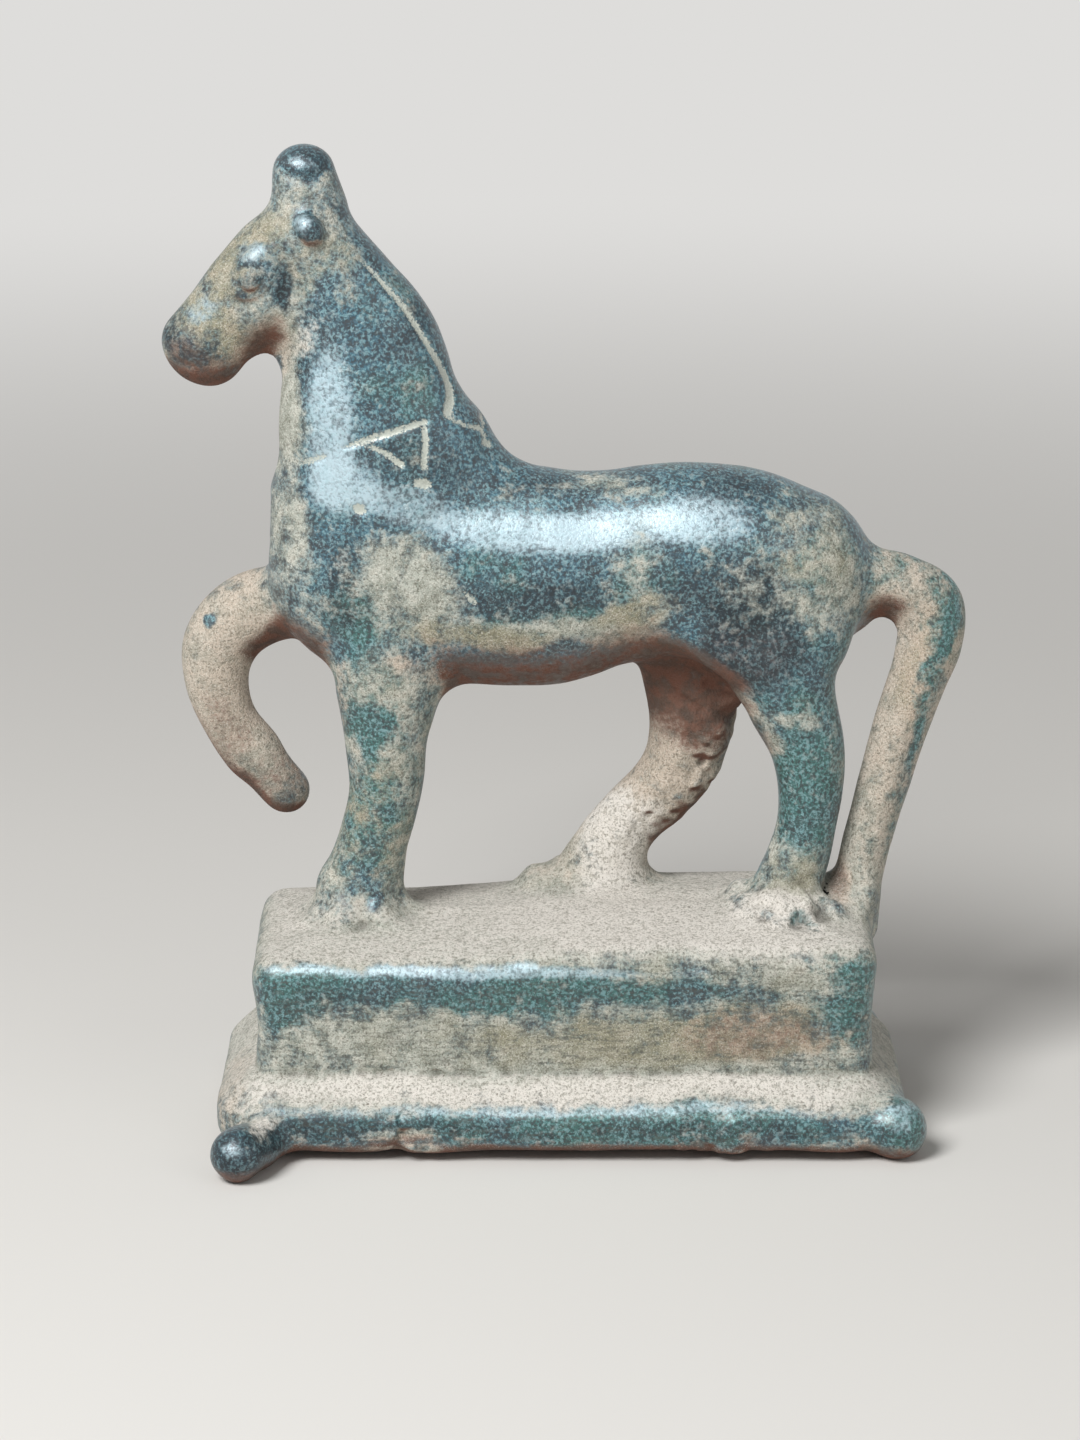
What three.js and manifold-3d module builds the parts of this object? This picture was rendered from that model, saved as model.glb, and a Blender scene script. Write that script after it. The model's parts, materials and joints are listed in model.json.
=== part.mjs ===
// Bronze horse statuette on a hollow plinth, built from its separately formed members.
// Millimetres, +Z up. The horse faces -X and its left side faces -Y.
// The origin is on the ground, under the middle of the whole statuette.
import * as THREE from "three";
import { mergeVertices } from "three/addons/utils/BufferGeometryUtils.js";
import Module from "manifold-3d";

const wasm = await Module();
wasm.setup();

// Driving dimensions of the stand
const groundClearance = 1.2; // from the ground to the underside of the foot frame
const frameHeight = 6.4;
const frameReach = 3.1; // how far the foot frame stands out past the plinth
const noseHeight = 3.7; // upright front face of the foot frame
const noseRound = 0.7;
const plinthHeight = 10.7; // from the foot frame to the edge of the deck
const plinthWall = 2.2;
const plinthCorner = 2.6; // radius of the upright corners
const deckEdge = 2.1; // radius of the rounded edge round the deck
const deckCrown = 0.9; // how far the deck swells in its middle
const deckRise = 1.3; // how much higher the deck lies under the hind legs than under the fore leg
const deckThickness = 2.4;
const deckOverhang = 0.35; // how far the deck's edge stands out past the plinth's side
const headMargin = 9.2; // deck in front of the fore hoof
const tailMargin = 1.1; // deck behind the middle of the tail's foot
const plinthWidth = 23;
const farMargin = 4.5; // deck beyond the far hind hoof
const footRadius = 3;
const footSole = 0.35; // how much of each ball foot is cut off flat
const innerBevel = 1.5; // along the top of the hollow
const tightCorner = 0.3; // the least radius of an upright corner
const crownFlat = 1; // half the width of the level middle of the deck

// Driving dimensions of the horse
const axisHeight = 33; // the trunk's axis above the edge of the deck
const shoulderX = -15.6;
const bodyLength = 36.4; // from the shoulder to the hip
const middleY = 3.2; // the horse's middle plane
const trunkDepth = 10.3; // half the trunk's depth at the shoulder
const neckHeight = 30.7; // from the trunk's axis up to the poll
const neckLean = 6.3; // how far in front of the shoulder the poll is
const neckGirth = 11.3; // half the neck's depth at its root
const headLength = 14.9; // from the poll to the middle of the muzzle
const topknotHeight = 5.8;
const legGirth = 3.3; // half a leg's depth at the hoof
const tailGirth = 2.8;
const foreHoofAdvance = 3.7; // the fore hoof in front of the shoulder
const foreHoofY = 0.5;
const leftHindHoofAdvance = 0.3; // the left hind hoof in front of the hip
const leftHindHoofY = -0.5;
const rightHindHoofAdvance = 16.9;
const rightHindHoofY = 7;
const tailFootSetback = 6.5; // the tail's foot behind the hip
const tailFootY = 1;
const foreRootSpread = 2; // from the horse's middle plane to the root of a leg
const leftHindRootSpread = 2.4;
const rightHindRootSpread = 2.8;
const rightHindRootAdvance = 9.3;
const tailRootSetback = 1.7;
const eyeRadius = 1.45;
const eyeHeight = 0.8;
const earRadius = 1.3;
const earHeight = 1.56;
const tangRadius = 1.4; // round peg under each standing hoof
const collarHeight = 2.1;
const foreSolderRadius = 5;
const leftHindSolderRadius = 4.8;
const rightHindSolderRadius = 6.6;
const rightHindSolderSetback = 0.9; // how far in front of the hoof that solder is centred
const tailSolderRadius = 3.2;
const tailSolderSetback = 1;

// Clearances
const seam = 0.3; // between two members that seat on each other
const tangClearance = 0.3; // all round a peg in its hole

// Places that follow from the driving dimensions
const frameTop = groundClearance + frameHeight;
const deckZ = frameTop + plinthHeight;
const axisZ = deckZ + axisHeight;
const hipX = shoulderX + bodyLength;
const foreHoofX = shoulderX - foreHoofAdvance;
const leftHindHoofX = hipX - leftHindHoofAdvance;
const rightHindHoofX = hipX - rightHindHoofAdvance;
const tailFootX = hipX + tailFootSetback;
const pollX = shoulderX - neckLean;
const pollZ = axisZ + neckHeight;
const plinthStart = foreHoofX - headMargin;
const plinthEnd = tailFootX + tailMargin;
const plinthFar = rightHindHoofY + farMargin;
const plinthNear = plinthFar - plinthWidth;
const plinthHalfX = (plinthEnd - plinthStart) / 2;
const plinthHalfY = (plinthFar - plinthNear) / 2;
const plinthX = (plinthStart + plinthEnd) / 2;
const plinthY = (plinthNear + plinthFar) / 2;
const tangLength = deckThickness + deckCrown;

// The deck climbs between these two places, given in half-lengths of the plinth from its middle
const climbStart = -0.6;
const climbEnd = 0.4;
const sideClimb = 0.6; // how much of the climb the foot of the deck's edge takes part in

// Facets
const capSteps = 3; // rings of a member's rounded end
const cornerSteps = 4;
const edgeSteps = 3;
const crownSteps = 3;
const pegSides = 12;
const footSides = 12;
const domeSides = 16;
const beadSides = 10;
const beadRings = 7;

const patina = { color: 0x456570, roughness: 0.38, metalness: 0.6 };
const earth = { color: 0xb4a794, roughness: 0.85, metalness: 0.1 };
const darkPatina = { color: 0x34464e, roughness: 0.35, metalness: 0.6 };
const greenPatina = { color: 0x5d8078, roughness: 0.55, metalness: 0.4 };
const solderGrey = { color: 0xb9b6ab, roughness: 0.7, metalness: 0.3 };

// A closed three.js geometry as a solid that can be joined and cut
function toSolid(geometry) {
  const bare = geometry.clone();
  bare.deleteAttribute("normal");
  bare.deleteAttribute("uv");
  const welded = mergeVertices(bare, 1e-4);
  const vertProperties = new Float32Array(welded.attributes.position.array);
  const triVerts = new Uint32Array(welded.index.array);
  return new wasm.Manifold(new wasm.Mesh({ numProp: 3, vertProperties, triVerts }));
}

// The joined or cut solid as a three.js geometry again
function toGeometry(solid) {
  const mesh = solid.getMesh();
  const geometry = new THREE.BufferGeometry();
  geometry.setAttribute("position", new THREE.BufferAttribute(mesh.vertProperties, 3));
  geometry.setIndex(new THREE.BufferAttribute(mesh.triVerts, 1));
  geometry.computeVertexNormals();
  return geometry;
}

// Closed skin over a row of rings that all have the same number of points
function skin(rings, startPole, endPole) {
  const sides = rings[0].length;
  const points = [startPole, ...rings.flat(), endPole];
  const faces = [];
  for (let side = 0; side < sides; side += 1) {
    const next = (side + 1) % sides;
    const lastRing = 1 + (rings.length - 1) * sides;
    faces.push(0, 1 + next, 1 + side);
    faces.push(points.length - 1, lastRing + side, lastRing + next);
    for (let ring = 0; ring < rings.length - 1; ring += 1) {
      const low = 1 + ring * sides;
      const high = low + sides;
      faces.push(low + side, low + next, high + next);
      faces.push(low + side, high + next, high + side);
    }
  }
  const geometry = new THREE.BufferGeometry();
  geometry.setFromPoints(points);
  geometry.setIndex(faces);
  return geometry;
}

// A modelled member: an oval section that follows a bent spine, with a rounded cap at each end.
// Each station is { x, y, z, fore, side }, where fore is the half-thickness in the plane of the
// horse's profile and side the half-thickness across it.
function member(stations, { steps, sides, startCap, endCap }, grow) {
  const spine = new THREE.CatmullRomCurve3(stations.map((s) => new THREE.Vector3(s.x, s.y, s.z)));
  const girth = new THREE.CatmullRomCurve3(stations.map((s) => new THREE.Vector3(s.fore, s.side, 0)));
  const ringAt = (t, push, shrink) => {
    const centre = spine.getPoint(t);
    const along = spine.getTangent(t);
    const size = girth.getPoint(t);
    const across = new THREE.Vector3(0, 1, 0).addScaledVector(along, -along.y).normalize();
    const fore = new THREE.Vector3().crossVectors(along, across);
    centre.addScaledVector(along, push);
    return Array.from({ length: sides }, (_, side) => {
      const angle = (2 * Math.PI * side) / sides;
      return centre
        .clone()
        .addScaledVector(fore, (size.x + grow) * shrink * Math.sin(angle))
        .addScaledVector(across, (size.y + grow) * shrink * Math.cos(angle));
    });
  };
  const poleAt = (t, push) => spine.getPoint(t).addScaledVector(spine.getTangent(t), push);
  const capAngle = (step) => (step / (capSteps + 1)) * (Math.PI / 2);
  const rings = [];
  for (let step = capSteps; step > 0; step -= 1) {
    rings.push(ringAt(0, -(startCap + grow) * Math.sin(capAngle(step)), Math.cos(capAngle(step))));
  }
  for (let step = 0; step <= steps; step += 1) {
    rings.push(ringAt(step / steps, 0, 1));
  }
  for (let step = 1; step <= capSteps; step += 1) {
    rings.push(ringAt(1, (endCap + grow) * Math.sin(capAngle(step)), Math.cos(capAngle(step))));
  }
  return toSolid(skin(rings, poleAt(0, -(startCap + grow)), poleAt(1, endCap + grow)));
}

// How much the deck has risen at x: level under the fore leg, then up to its full height
function deckClimb(x) {
  const start = plinthX + climbStart * plinthHalfX;
  const end = plinthX + climbEnd * plinthHalfX;
  return deckRise * THREE.MathUtils.smoothstep(x, start, end);
}

// One level outline of the stand: a rectangle with round corners, set in by a distance. Where
// it belongs to the deck, it climbs towards the tail by the deck's rise.
function levelRing(inset, z, climb) {
  const corner = Math.max(plinthCorner - inset, tightCorner);
  const ring = [];
  for (let quarter = 0; quarter < 4; quarter += 1) {
    const signX = quarter === 0 || quarter === 3 ? 1 : -1;
    const signY = quarter < 2 ? 1 : -1;
    for (let step = 0; step <= cornerSteps; step += 1) {
      const angle = ((quarter + step / cornerSteps) * Math.PI) / 2;
      const x = plinthX + signX * (plinthHalfX - inset - corner) + corner * Math.cos(angle);
      const y = plinthY + signY * (plinthHalfY - inset - corner) + corner * Math.sin(angle);
      ring.push(new THREE.Vector3(x, y, z + climb * deckClimb(x)));
    }
  }
  return ring;
}

// A closed stack of level outlines, each given as [inset, z, climb], from the lowest to the highest
function stack(levels) {
  const rings = levels.map(([inset, z, climb = 0]) => levelRing(inset, z, climb));
  const poleAt = ([, z, climb = 0]) => {
    return new THREE.Vector3(plinthX, plinthY, z + climb * deckClimb(plinthX));
  };
  return toSolid(skin(rings, poleAt(levels[0]), poleAt(levels[levels.length - 1])));
}

// The plinth's outer form, with its rounded edge and swollen deck
function plinthForm(grow) {
  const levels = [
    [deckOverhang - grow, frameTop - grow],
    [deckOverhang - grow, deckZ - 2 * deckEdge, sideClimb],
    [-grow, deckZ - deckEdge, 1],
  ];
  for (let step = 1; step <= edgeSteps; step += 1) {
    const angle = (step / edgeSteps) * (Math.PI / 2);
    const radius = deckEdge + grow;
    const z = deckZ - deckEdge + radius * Math.sin(angle);
    levels.push([deckEdge - radius * Math.cos(angle), z, 1]);
  }
  for (let step = 1; step <= crownSteps; step += 1) {
    const share = step / crownSteps;
    const rise = deckCrown * Math.sin(share * (Math.PI / 2));
    levels.push([THREE.MathUtils.lerp(deckEdge, plinthHalfY - crownFlat, share), deckZ + grow + rise, 1]);
  }
  return stack(levels);
}

// The hollow inside the stand, open below
function hollowForm() {
  const roof = deckZ - deckThickness;
  const levels = [
    [plinthWall, -seam],
    [plinthWall, roof - innerBevel],
    [plinthWall + innerBevel, roof],
  ];
  return stack(levels);
}

// The foot frame's outer form: an upright nose with a slope above it that runs up to the plinth
function frameForm(grow) {
  const noseBottom = groundClearance;
  const noseTop = noseBottom + noseHeight;
  const levels = [
    [noseRound - frameReach - grow, noseBottom - grow],
    [-frameReach - grow, noseBottom + noseRound],
    [-frameReach - grow, noseTop - noseRound],
    [noseRound / 2 - frameReach - grow, noseTop + grow],
    [deckOverhang - grow, frameTop + grow],
  ];
  return stack(levels);
}

// An upright round peg or hole
function peg(x, y, radius, bottom, top) {
  const geometry = new THREE.CylinderGeometry(radius, radius, top - bottom, pegSides);
  geometry.rotateX(Math.PI / 2);
  geometry.translate(x, y, (top + bottom) / 2);
  return toSolid(geometry);
}

const tangPlaces = [
  [foreHoofX, foreHoofY],
  [leftHindHoofX, leftHindHoofY],
  [rightHindHoofX, rightHindHoofY],
];

function plinthSolid() {
  let solid = plinthForm(0).subtract(hollowForm());
  for (const [x, y] of tangPlaces) {
    const bottom = deckZ - 2 * deckThickness;
    const top = deckZ + deckRise + 2 * deckCrown;
    solid = solid.subtract(peg(x, y, tangRadius + tangClearance, bottom, top));
  }
  return solid;
}

function frameSolid() {
  return frameForm(0).subtract(hollowForm());
}

// The ball feet. Each row: name, the end and the side of the plinth that it stands at, how far in
// from that corner its root is, and how far out from the corner the middle of its ball is, along
// and across, in foot radii.
const feet = [
  ["foot_near_left", -1, -1, 0.667, 0.333, 0.1, 2.1],
  ["foot_near_right", 1, -1, 0.333, 0.667, 0.633, 0.3],
  ["foot_far_left", -1, 1, 1, 0.333, -0.2, 0.867],
  ["foot_far_right", 1, 1, 1, 0.333, -0.2, 0.867],
];

// A ball foot that grows out from under a corner of the foot frame, with a flat sole on the ground
function footSolid(end, side, inAlong, inAcross, outAlong, outAcross) {
  const centreZ = footRadius - footSole;
  const rootX = plinthX + end * (plinthHalfX - inAlong * footRadius);
  const rootY = plinthY + side * (plinthHalfY - inAcross * footRadius);
  const ballX = plinthX + end * (plinthHalfX + outAlong * footRadius);
  const ballY = plinthY + side * (plinthHalfY + outAcross * footRadius);
  const stations = [
    { x: rootX, y: rootY, z: centreZ, fore: footRadius, side: footRadius },
    { x: (rootX + ballX) / 2, y: (rootY + ballY) / 2, z: centreZ, fore: footRadius, side: footRadius },
    { x: ballX, y: ballY, z: centreZ, fore: footRadius, side: footRadius },
  ];
  const lobe = member(stations, footShape, 0);
  const groundSpan = 4 * plinthHalfX;
  const ground = new THREE.BoxGeometry(groundSpan, groundSpan, 2 * footRadius);
  ground.translate(plinthX, plinthY, -footRadius);
  return lobe.subtract(frameForm(seam)).subtract(hollowForm()).subtract(toSolid(ground));
}

// The facets and the rounded ends of each kind of member
const footShape = { steps: 2, sides: footSides, startCap: footRadius, endCap: footRadius };
const trunkShape = { steps: 14, sides: 18, startCap: 0.96 * trunkDepth, endCap: 0.78 * trunkDepth };
const neckShape = { steps: 9, sides: 16, startCap: 0.27 * neckGirth, endCap: 0.19 * neckGirth };
const headShape = { steps: 8, sides: 14, startCap: 0.17 * headLength, endCap: 0.235 * headLength };
const legShape = { steps: 15, sides: 12, startCap: 0.73 * legGirth, endCap: 0.12 * legGirth };
const raisedLegShape = { steps: 15, sides: 12, startCap: 0.6 * legGirth, endCap: 0.67 * legGirth };
const tailShape = { steps: 22, sides: 10, startCap: 0.53 * tailGirth, endCap: 0.32 * tailGirth };
const knotShape = { steps: 3, sides: 12, startCap: 0.17 * topknotHeight, endCap: 0.43 * topknotHeight };

// The trunk, from the chest to the rump
function trunkForm(grow) {
  // Each row: share of the way from shoulder to hip, then the rise above the axis, fore and side
  // in trunk depths
  const rows = [
    [-0.04, 0.029, 1, 0.612],
    [0.18, -0.039, 1, 0.67],
    [0.39, -0.058, 0.99, 0.68],
    [0.55, 0.019, 0.874, 0.67],
    [0.72, 0.097, 0.864, 0.68],
    [0.855, 0.058, 0.864, 0.68],
    [0.985, -0.068, 0.816, 0.65],
  ];
  const stations = rows.map(([share, rise, fore, side]) => {
    return {
      x: shoulderX + share * bodyLength,
      y: middleY,
      z: axisZ + rise * trunkDepth,
      fore: fore * trunkDepth,
      side: side * trunkDepth,
    };
  });
  return member(stations, trunkShape, grow);
}

// The neck, from the shoulder up to the poll
function neckForm(grow) {
  // Each row: how far behind the shoulder in leans, rise above the trunk's axis in neck heights,
  // then fore and side in neck girths
  const rows = [
    [-0.049, 0.121, 1, 0.557],
    [-0.063, 0.326, 0.937, 0.541],
    [-0.268, 0.479, 0.788, 0.494],
    [-0.478, 0.674, 0.628, 0.424],
    [-0.78, 0.853, 0.494, 0.372],
    [-1, 1, 0.363, 0.327],
  ];
  const stations = rows.map(([behind, rise, fore, side]) => {
    return {
      x: shoulderX + behind * neckLean,
      y: middleY,
      z: axisZ + rise * neckHeight,
      fore: fore * neckGirth,
      side: side * neckGirth,
    };
  });
  return member(stations, neckShape, grow);
}

// Stations given as how far behind the poll and how far above it, fore, side, in lengths of a unit
function fromPoll(rows, unit) {
  return rows.map(([behind, rise, fore, side]) => {
    return {
      x: pollX + behind * unit,
      y: middleY,
      z: pollZ + rise * unit,
      fore: fore * unit,
      side: side * unit,
    };
  });
}

// The head, from the poll down to the round muzzle
function headForm(grow) {
  const rows = [
    [-0.047, 0.107, 0.248, 0.235],
    [-0.228, -0.141, 0.329, 0.262],
    [-0.45, -0.376, 0.295, 0.235],
    [-0.617, -0.544, 0.255, 0.208],
    [-0.738, -0.671, 0.262, 0.221],
  ];
  return member(fromPoll(rows, headLength), headShape, grow);
}

// The round-topped knot of mane that stands on the poll
function topknotForm(grow) {
  const rows = [
    [-0.138, 0.431, 0.603, 0.517],
    [-0.19, 0.793, 0.526, 0.466],
    [-0.207, 1, 0.483, 0.431],
  ];
  return member(fromPoll(rows, topknotHeight), knotShape, grow);
}

// A standing member. Each row: height and bow towards the tail in shares of the height from the
// deck to the trunk's axis, then fore and side in girths. Its middle line runs from the foot to the
// root, plus the bow.
function legStations(rows, girth, hoofX, hoofY, rootX, rootY) {
  return rows.map(([share, bow, fore, side]) => {
    return {
      x: THREE.MathUtils.lerp(hoofX, rootX, share) + bow * axisHeight,
      y: THREE.MathUtils.lerp(hoofY, rootY, share),
      z: deckZ + share * axisHeight,
      fore: fore * girth,
      side: side * girth,
    };
  });
}

function leftForelegForm(grow) {
  const rows = [
    [1, 0, 1.82, 1.21],
    [0.8, 0.009, 1.61, 1.21],
    [0.65, 0.021, 1.39, 1.15],
    [0.53, 0.027, 1.15, 1.03],
    [0.42, 0.036, 1.03, 0.94],
    [0.34, 0.033, 0.97, 0.89],
    [0.255, 0.015, 0.97, 0.88],
    [0.165, 0, 1.06, 0.91],
    [0.1, -0.009, 1.21, 1],
    [0, 0, 1.15, 1.06],
  ];
  const stations = legStations(rows, legGirth, foreHoofX, foreHoofY, shoulderX, middleY - foreRootSpread);
  return member(stations, legShape, grow);
}

// The lifted foreleg, which leaves the chest forwards and folds down at the knee
function rightForelegForm(grow) {
  // Each row: how far behind the shoulder, rise above the trunk's axis and y beyond the middle, in
  // shares of the axis's height over the deck, then fore and side in girths
  const rows = [
    [-0.088, -0.085, 0.07, 1.15, 1.09],
    [-0.27, -0.127, 0.103, 1.06, 1.06],
    [-0.406, -0.164, 0.115, 1.15, 1.03],
    [-0.494, -0.239, 0.115, 1.03, 0.94],
    [-0.503, -0.348, 0.115, 0.95, 0.88],
    [-0.464, -0.473, 0.115, 0.82, 0.79],
    [-0.409, -0.558, 0.115, 0.79, 0.76],
    [-0.318, -0.664, 0.115, 0.71, 0.67],
  ];
  const stations = rows.map(([behind, rise, beyond, fore, side]) => {
    return {
      x: shoulderX + behind * axisHeight,
      y: middleY + beyond * axisHeight,
      z: axisZ + rise * axisHeight,
      fore: fore * legGirth,
      side: side * legGirth,
    };
  });
  return member(stations, raisedLegShape, grow);
}

function leftHindLegForm(grow) {
  const rows = [
    [0.99, -0.018, 1.64, 1.03],
    [0.89, 0, 1.76, 1.27],
    [0.77, -0.009, 1.48, 1.27],
    [0.655, 0, 1.21, 1.12],
    [0.525, 0.042, 1.05, 0.94],
    [0.4, 0.055, 0.91, 0.85],
    [0.28, 0.048, 0.86, 0.82],
    [0.185, 0.027, 0.91, 0.85],
    [0.11, 0.003, 0.97, 0.91],
    [0, 0, 1, 0.97],
  ];
  const rootY = middleY - leftHindRootSpread;
  const stations = legStations(rows, legGirth, leftHindHoofX, leftHindHoofY, hipX, rootY);
  return member(stations, legShape, grow);
}

function rightHindLegForm(grow) {
  const rows = [
    [0.93, 0.015, 1.45, 1.09],
    [0.77, 0.052, 1.45, 1.09],
    [0.59, 0.106, 1.27, 1.06],
    [0.505, 0.124, 1.15, 1],
    [0.415, 0.124, 1.06, 0.97],
    [0.335, 0.088, 0.94, 0.91],
    [0.245, 0.018, 0.88, 0.85],
    [0.165, -0.015, 1, 0.94],
    [0.09, -0.021, 1.27, 1.12],
    [0, 0, 1.45, 1.27],
  ];
  const rootX = hipX - rightHindRootAdvance;
  const rootY = middleY + rightHindRootSpread;
  const stations = legStations(rows, legGirth, rightHindHoofX, rightHindHoofY, rootX, rootY);
  return member(stations, legShape, grow);
}

// The tail leaves the rump level, turns down and comes to rest on the end of the deck
function tailForm(grow) {
  const rows = [
    [1.01, 0, 1.073, 1.002],
    [0.98, 0.155, 1.002, 0.966],
    [0.96, 0.245, 1.002, 0.966],
    [0.905, 0.321, 1.073, 0.966],
    [0.8, 0.312, 1.037, 0.931],
    [0.685, 0.261, 1.002, 0.896],
    [0.567, 0.2, 0.931, 0.825],
    [0.45, 0.152, 0.86, 0.79],
    [0.333, 0.103, 0.801, 0.754],
    [0.218, 0.058, 0.766, 0.719],
    [0.1, 0.021, 0.754, 0.719],
    [-0.03, 0, 0.684, 0.684],
  ];
  const rootX = hipX + tailRootSetback;
  const stations = legStations(rows, tailGirth, tailFootX, tailFootY, rootX, middleY);
  return member(stations, tailShape, grow);
}

// A swollen bead, such as an ear or an eye, given by its centre and its three half-sizes
function bead(x, y, z, halfX, halfY, halfZ) {
  const geometry = new THREE.SphereGeometry(1, beadSides, beadRings);
  geometry.rotateX(Math.PI / 2);
  geometry.scale(halfX, halfY, halfZ);
  geometry.translate(x, y, z);
  return toSolid(geometry);
}

// A low dome of solder on the deck
function domeForm(x, y, radius, grow) {
  const reach = radius + grow;
  const top = collarHeight + grow;
  const profile = [
    new THREE.Vector2(0, -0.5 * collarHeight),
    new THREE.Vector2(reach, -0.5 * collarHeight),
    new THREE.Vector2(reach, 0.2 * top),
    new THREE.Vector2(reach * 0.93, 0.5 * top),
    new THREE.Vector2(reach * 0.75, 0.8 * top),
    new THREE.Vector2(reach * 0.5, top),
    new THREE.Vector2(0, top),
  ];
  const geometry = new THREE.LatheGeometry(profile, domeSides);
  geometry.rotateX(Math.PI / 2);
  geometry.translate(x, y, deckZ + deckClimb(x));
  return toSolid(geometry);
}

// The ring of solder round a foot: the dome, less the leg that passes through it
function collar(x, y, radius, legForm) {
  return domeForm(x, y, radius, 0).subtract(legForm(seam)).subtract(plinthForm(seam));
}

// The tail's solder runs up to the hind leg in front of it, and that leg's solder stops at it
function tailDome(grow) {
  return domeForm(tailFootX - tailSolderSetback, tailFootY, tailSolderRadius, grow);
}

function tailCollar() {
  return tailDome(0).subtract(tailForm(seam)).subtract(plinthForm(seam)).subtract(leftHindLegForm(seam));
}

// A standing leg seated on the deck, with its peg through the deck
function standingLeg(legForm, x, y) {
  const hoofTop = deckZ + deckRise + 2 * tangRadius;
  const tang = peg(x, y, tangRadius, deckZ - tangLength, hoofTop);
  return legForm(0).subtract(trunkForm(seam)).subtract(plinthForm(seam)).add(tang);
}

// An eye is a raised pellet on the cheek. Its place is in head lengths from the poll.
function eyeSolid(side) {
  const x = pollX - 0.396 * headLength;
  const y = middleY + side * 0.228 * headLength;
  const z = pollZ - 0.201 * headLength;
  return bead(x, y, z, eyeRadius, eyeHeight, eyeRadius).subtract(headForm(seam));
}

function earSolid(side) {
  const x = pollX - 0.06 * headLength;
  const y = middleY + side * 0.248 * headLength;
  const z = pollZ + 0.087 * headLength;
  const ear = bead(x, y, z, earRadius, earRadius, earHeight);
  return ear.subtract(headForm(seam)).subtract(neckForm(seam));
}

const statuette = new THREE.Group();

function place(name, solid, finish) {
  const mesh = new THREE.Mesh(toGeometry(solid), new THREE.MeshStandardMaterial(finish));
  mesh.name = name;
  statuette.add(mesh);
}

place("plinth", plinthSolid(), greenPatina);
place("foot_frame", frameSolid(), earth);
for (const [name, ...placement] of feet) {
  place(name, footSolid(...placement), darkPatina);
}

place("trunk", trunkForm(0), patina);
place("neck", neckForm(0).subtract(trunkForm(seam)), patina);
place("head", headForm(0).subtract(neckForm(seam)), earth);
place("topknot", topknotForm(0).subtract(headForm(seam)).subtract(neckForm(seam)), darkPatina);
place("left_ear", earSolid(-1), darkPatina);
place("right_ear", earSolid(1), darkPatina);
place("left_eye", eyeSolid(-1), patina);
place("right_eye", eyeSolid(1), patina);

const raisedLeg = rightForelegForm(0).subtract(trunkForm(seam)).subtract(neckForm(seam));
place("left_foreleg", standingLeg(leftForelegForm, foreHoofX, foreHoofY), earth);
place("right_foreleg", raisedLeg, earth);
place("left_hind_leg", standingLeg(leftHindLegForm, leftHindHoofX, leftHindHoofY), patina);
place("right_hind_leg", standingLeg(rightHindLegForm, rightHindHoofX, rightHindHoofY), earth);
place("tail", tailForm(0).subtract(trunkForm(seam)).subtract(plinthForm(seam)), greenPatina);

const foreSolder = collar(foreHoofX, foreHoofY, foreSolderRadius, leftForelegForm);
const leftHindRing = collar(leftHindHoofX, leftHindHoofY, leftHindSolderRadius, leftHindLegForm);
const leftHindSolder = leftHindRing.subtract(tailDome(seam));
const rightSolderX = rightHindHoofX - rightHindSolderSetback;
const rightHindSolder = collar(rightSolderX, rightHindHoofY, rightHindSolderRadius, rightHindLegForm);
place("solder_left_fore", foreSolder, solderGrey);
place("solder_left_hind", leftHindSolder, solderGrey);
place("solder_right_hind", rightHindSolder, solderGrey);
place("solder_tail", tailCollar(), solderGrey);

// The origin goes under the middle of the whole statuette
const middle = new THREE.Box3().setFromObject(statuette).getCenter(new THREE.Vector3());
statuette.position.set(-middle.x, -middle.y, 0);

export default statuette;
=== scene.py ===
import json
import bpy
import numpy as np
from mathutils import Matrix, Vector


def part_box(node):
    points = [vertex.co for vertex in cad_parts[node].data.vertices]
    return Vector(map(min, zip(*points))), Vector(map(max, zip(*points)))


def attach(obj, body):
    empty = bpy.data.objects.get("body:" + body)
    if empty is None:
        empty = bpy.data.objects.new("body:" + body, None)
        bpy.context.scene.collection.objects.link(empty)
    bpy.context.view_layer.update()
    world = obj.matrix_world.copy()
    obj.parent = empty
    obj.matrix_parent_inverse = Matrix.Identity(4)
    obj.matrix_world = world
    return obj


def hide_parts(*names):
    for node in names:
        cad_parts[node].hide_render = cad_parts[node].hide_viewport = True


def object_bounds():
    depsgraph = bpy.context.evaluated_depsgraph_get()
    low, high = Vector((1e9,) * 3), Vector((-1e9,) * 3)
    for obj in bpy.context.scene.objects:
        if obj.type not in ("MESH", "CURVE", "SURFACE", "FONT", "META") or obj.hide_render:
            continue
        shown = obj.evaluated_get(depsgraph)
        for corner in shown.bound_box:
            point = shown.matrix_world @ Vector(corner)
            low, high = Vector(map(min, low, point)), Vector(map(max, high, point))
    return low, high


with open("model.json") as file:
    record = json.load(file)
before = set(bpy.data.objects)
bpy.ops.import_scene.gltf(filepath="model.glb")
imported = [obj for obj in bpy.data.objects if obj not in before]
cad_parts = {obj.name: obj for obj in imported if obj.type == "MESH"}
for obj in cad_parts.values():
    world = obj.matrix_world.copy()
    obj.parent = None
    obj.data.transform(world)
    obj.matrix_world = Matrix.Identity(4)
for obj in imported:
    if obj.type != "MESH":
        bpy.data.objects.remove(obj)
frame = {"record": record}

import openvdb as vdb

cad_box = [list(corner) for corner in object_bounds()]


# ----------------------------------------------------------------------------
# Trunk. The barrel body, rolled in wax from chest to rump and later cast in bronze, with a fold
# at the near flank. It is the first member laid into the volume that stands for the whole
# casting, in millimetres.

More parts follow.
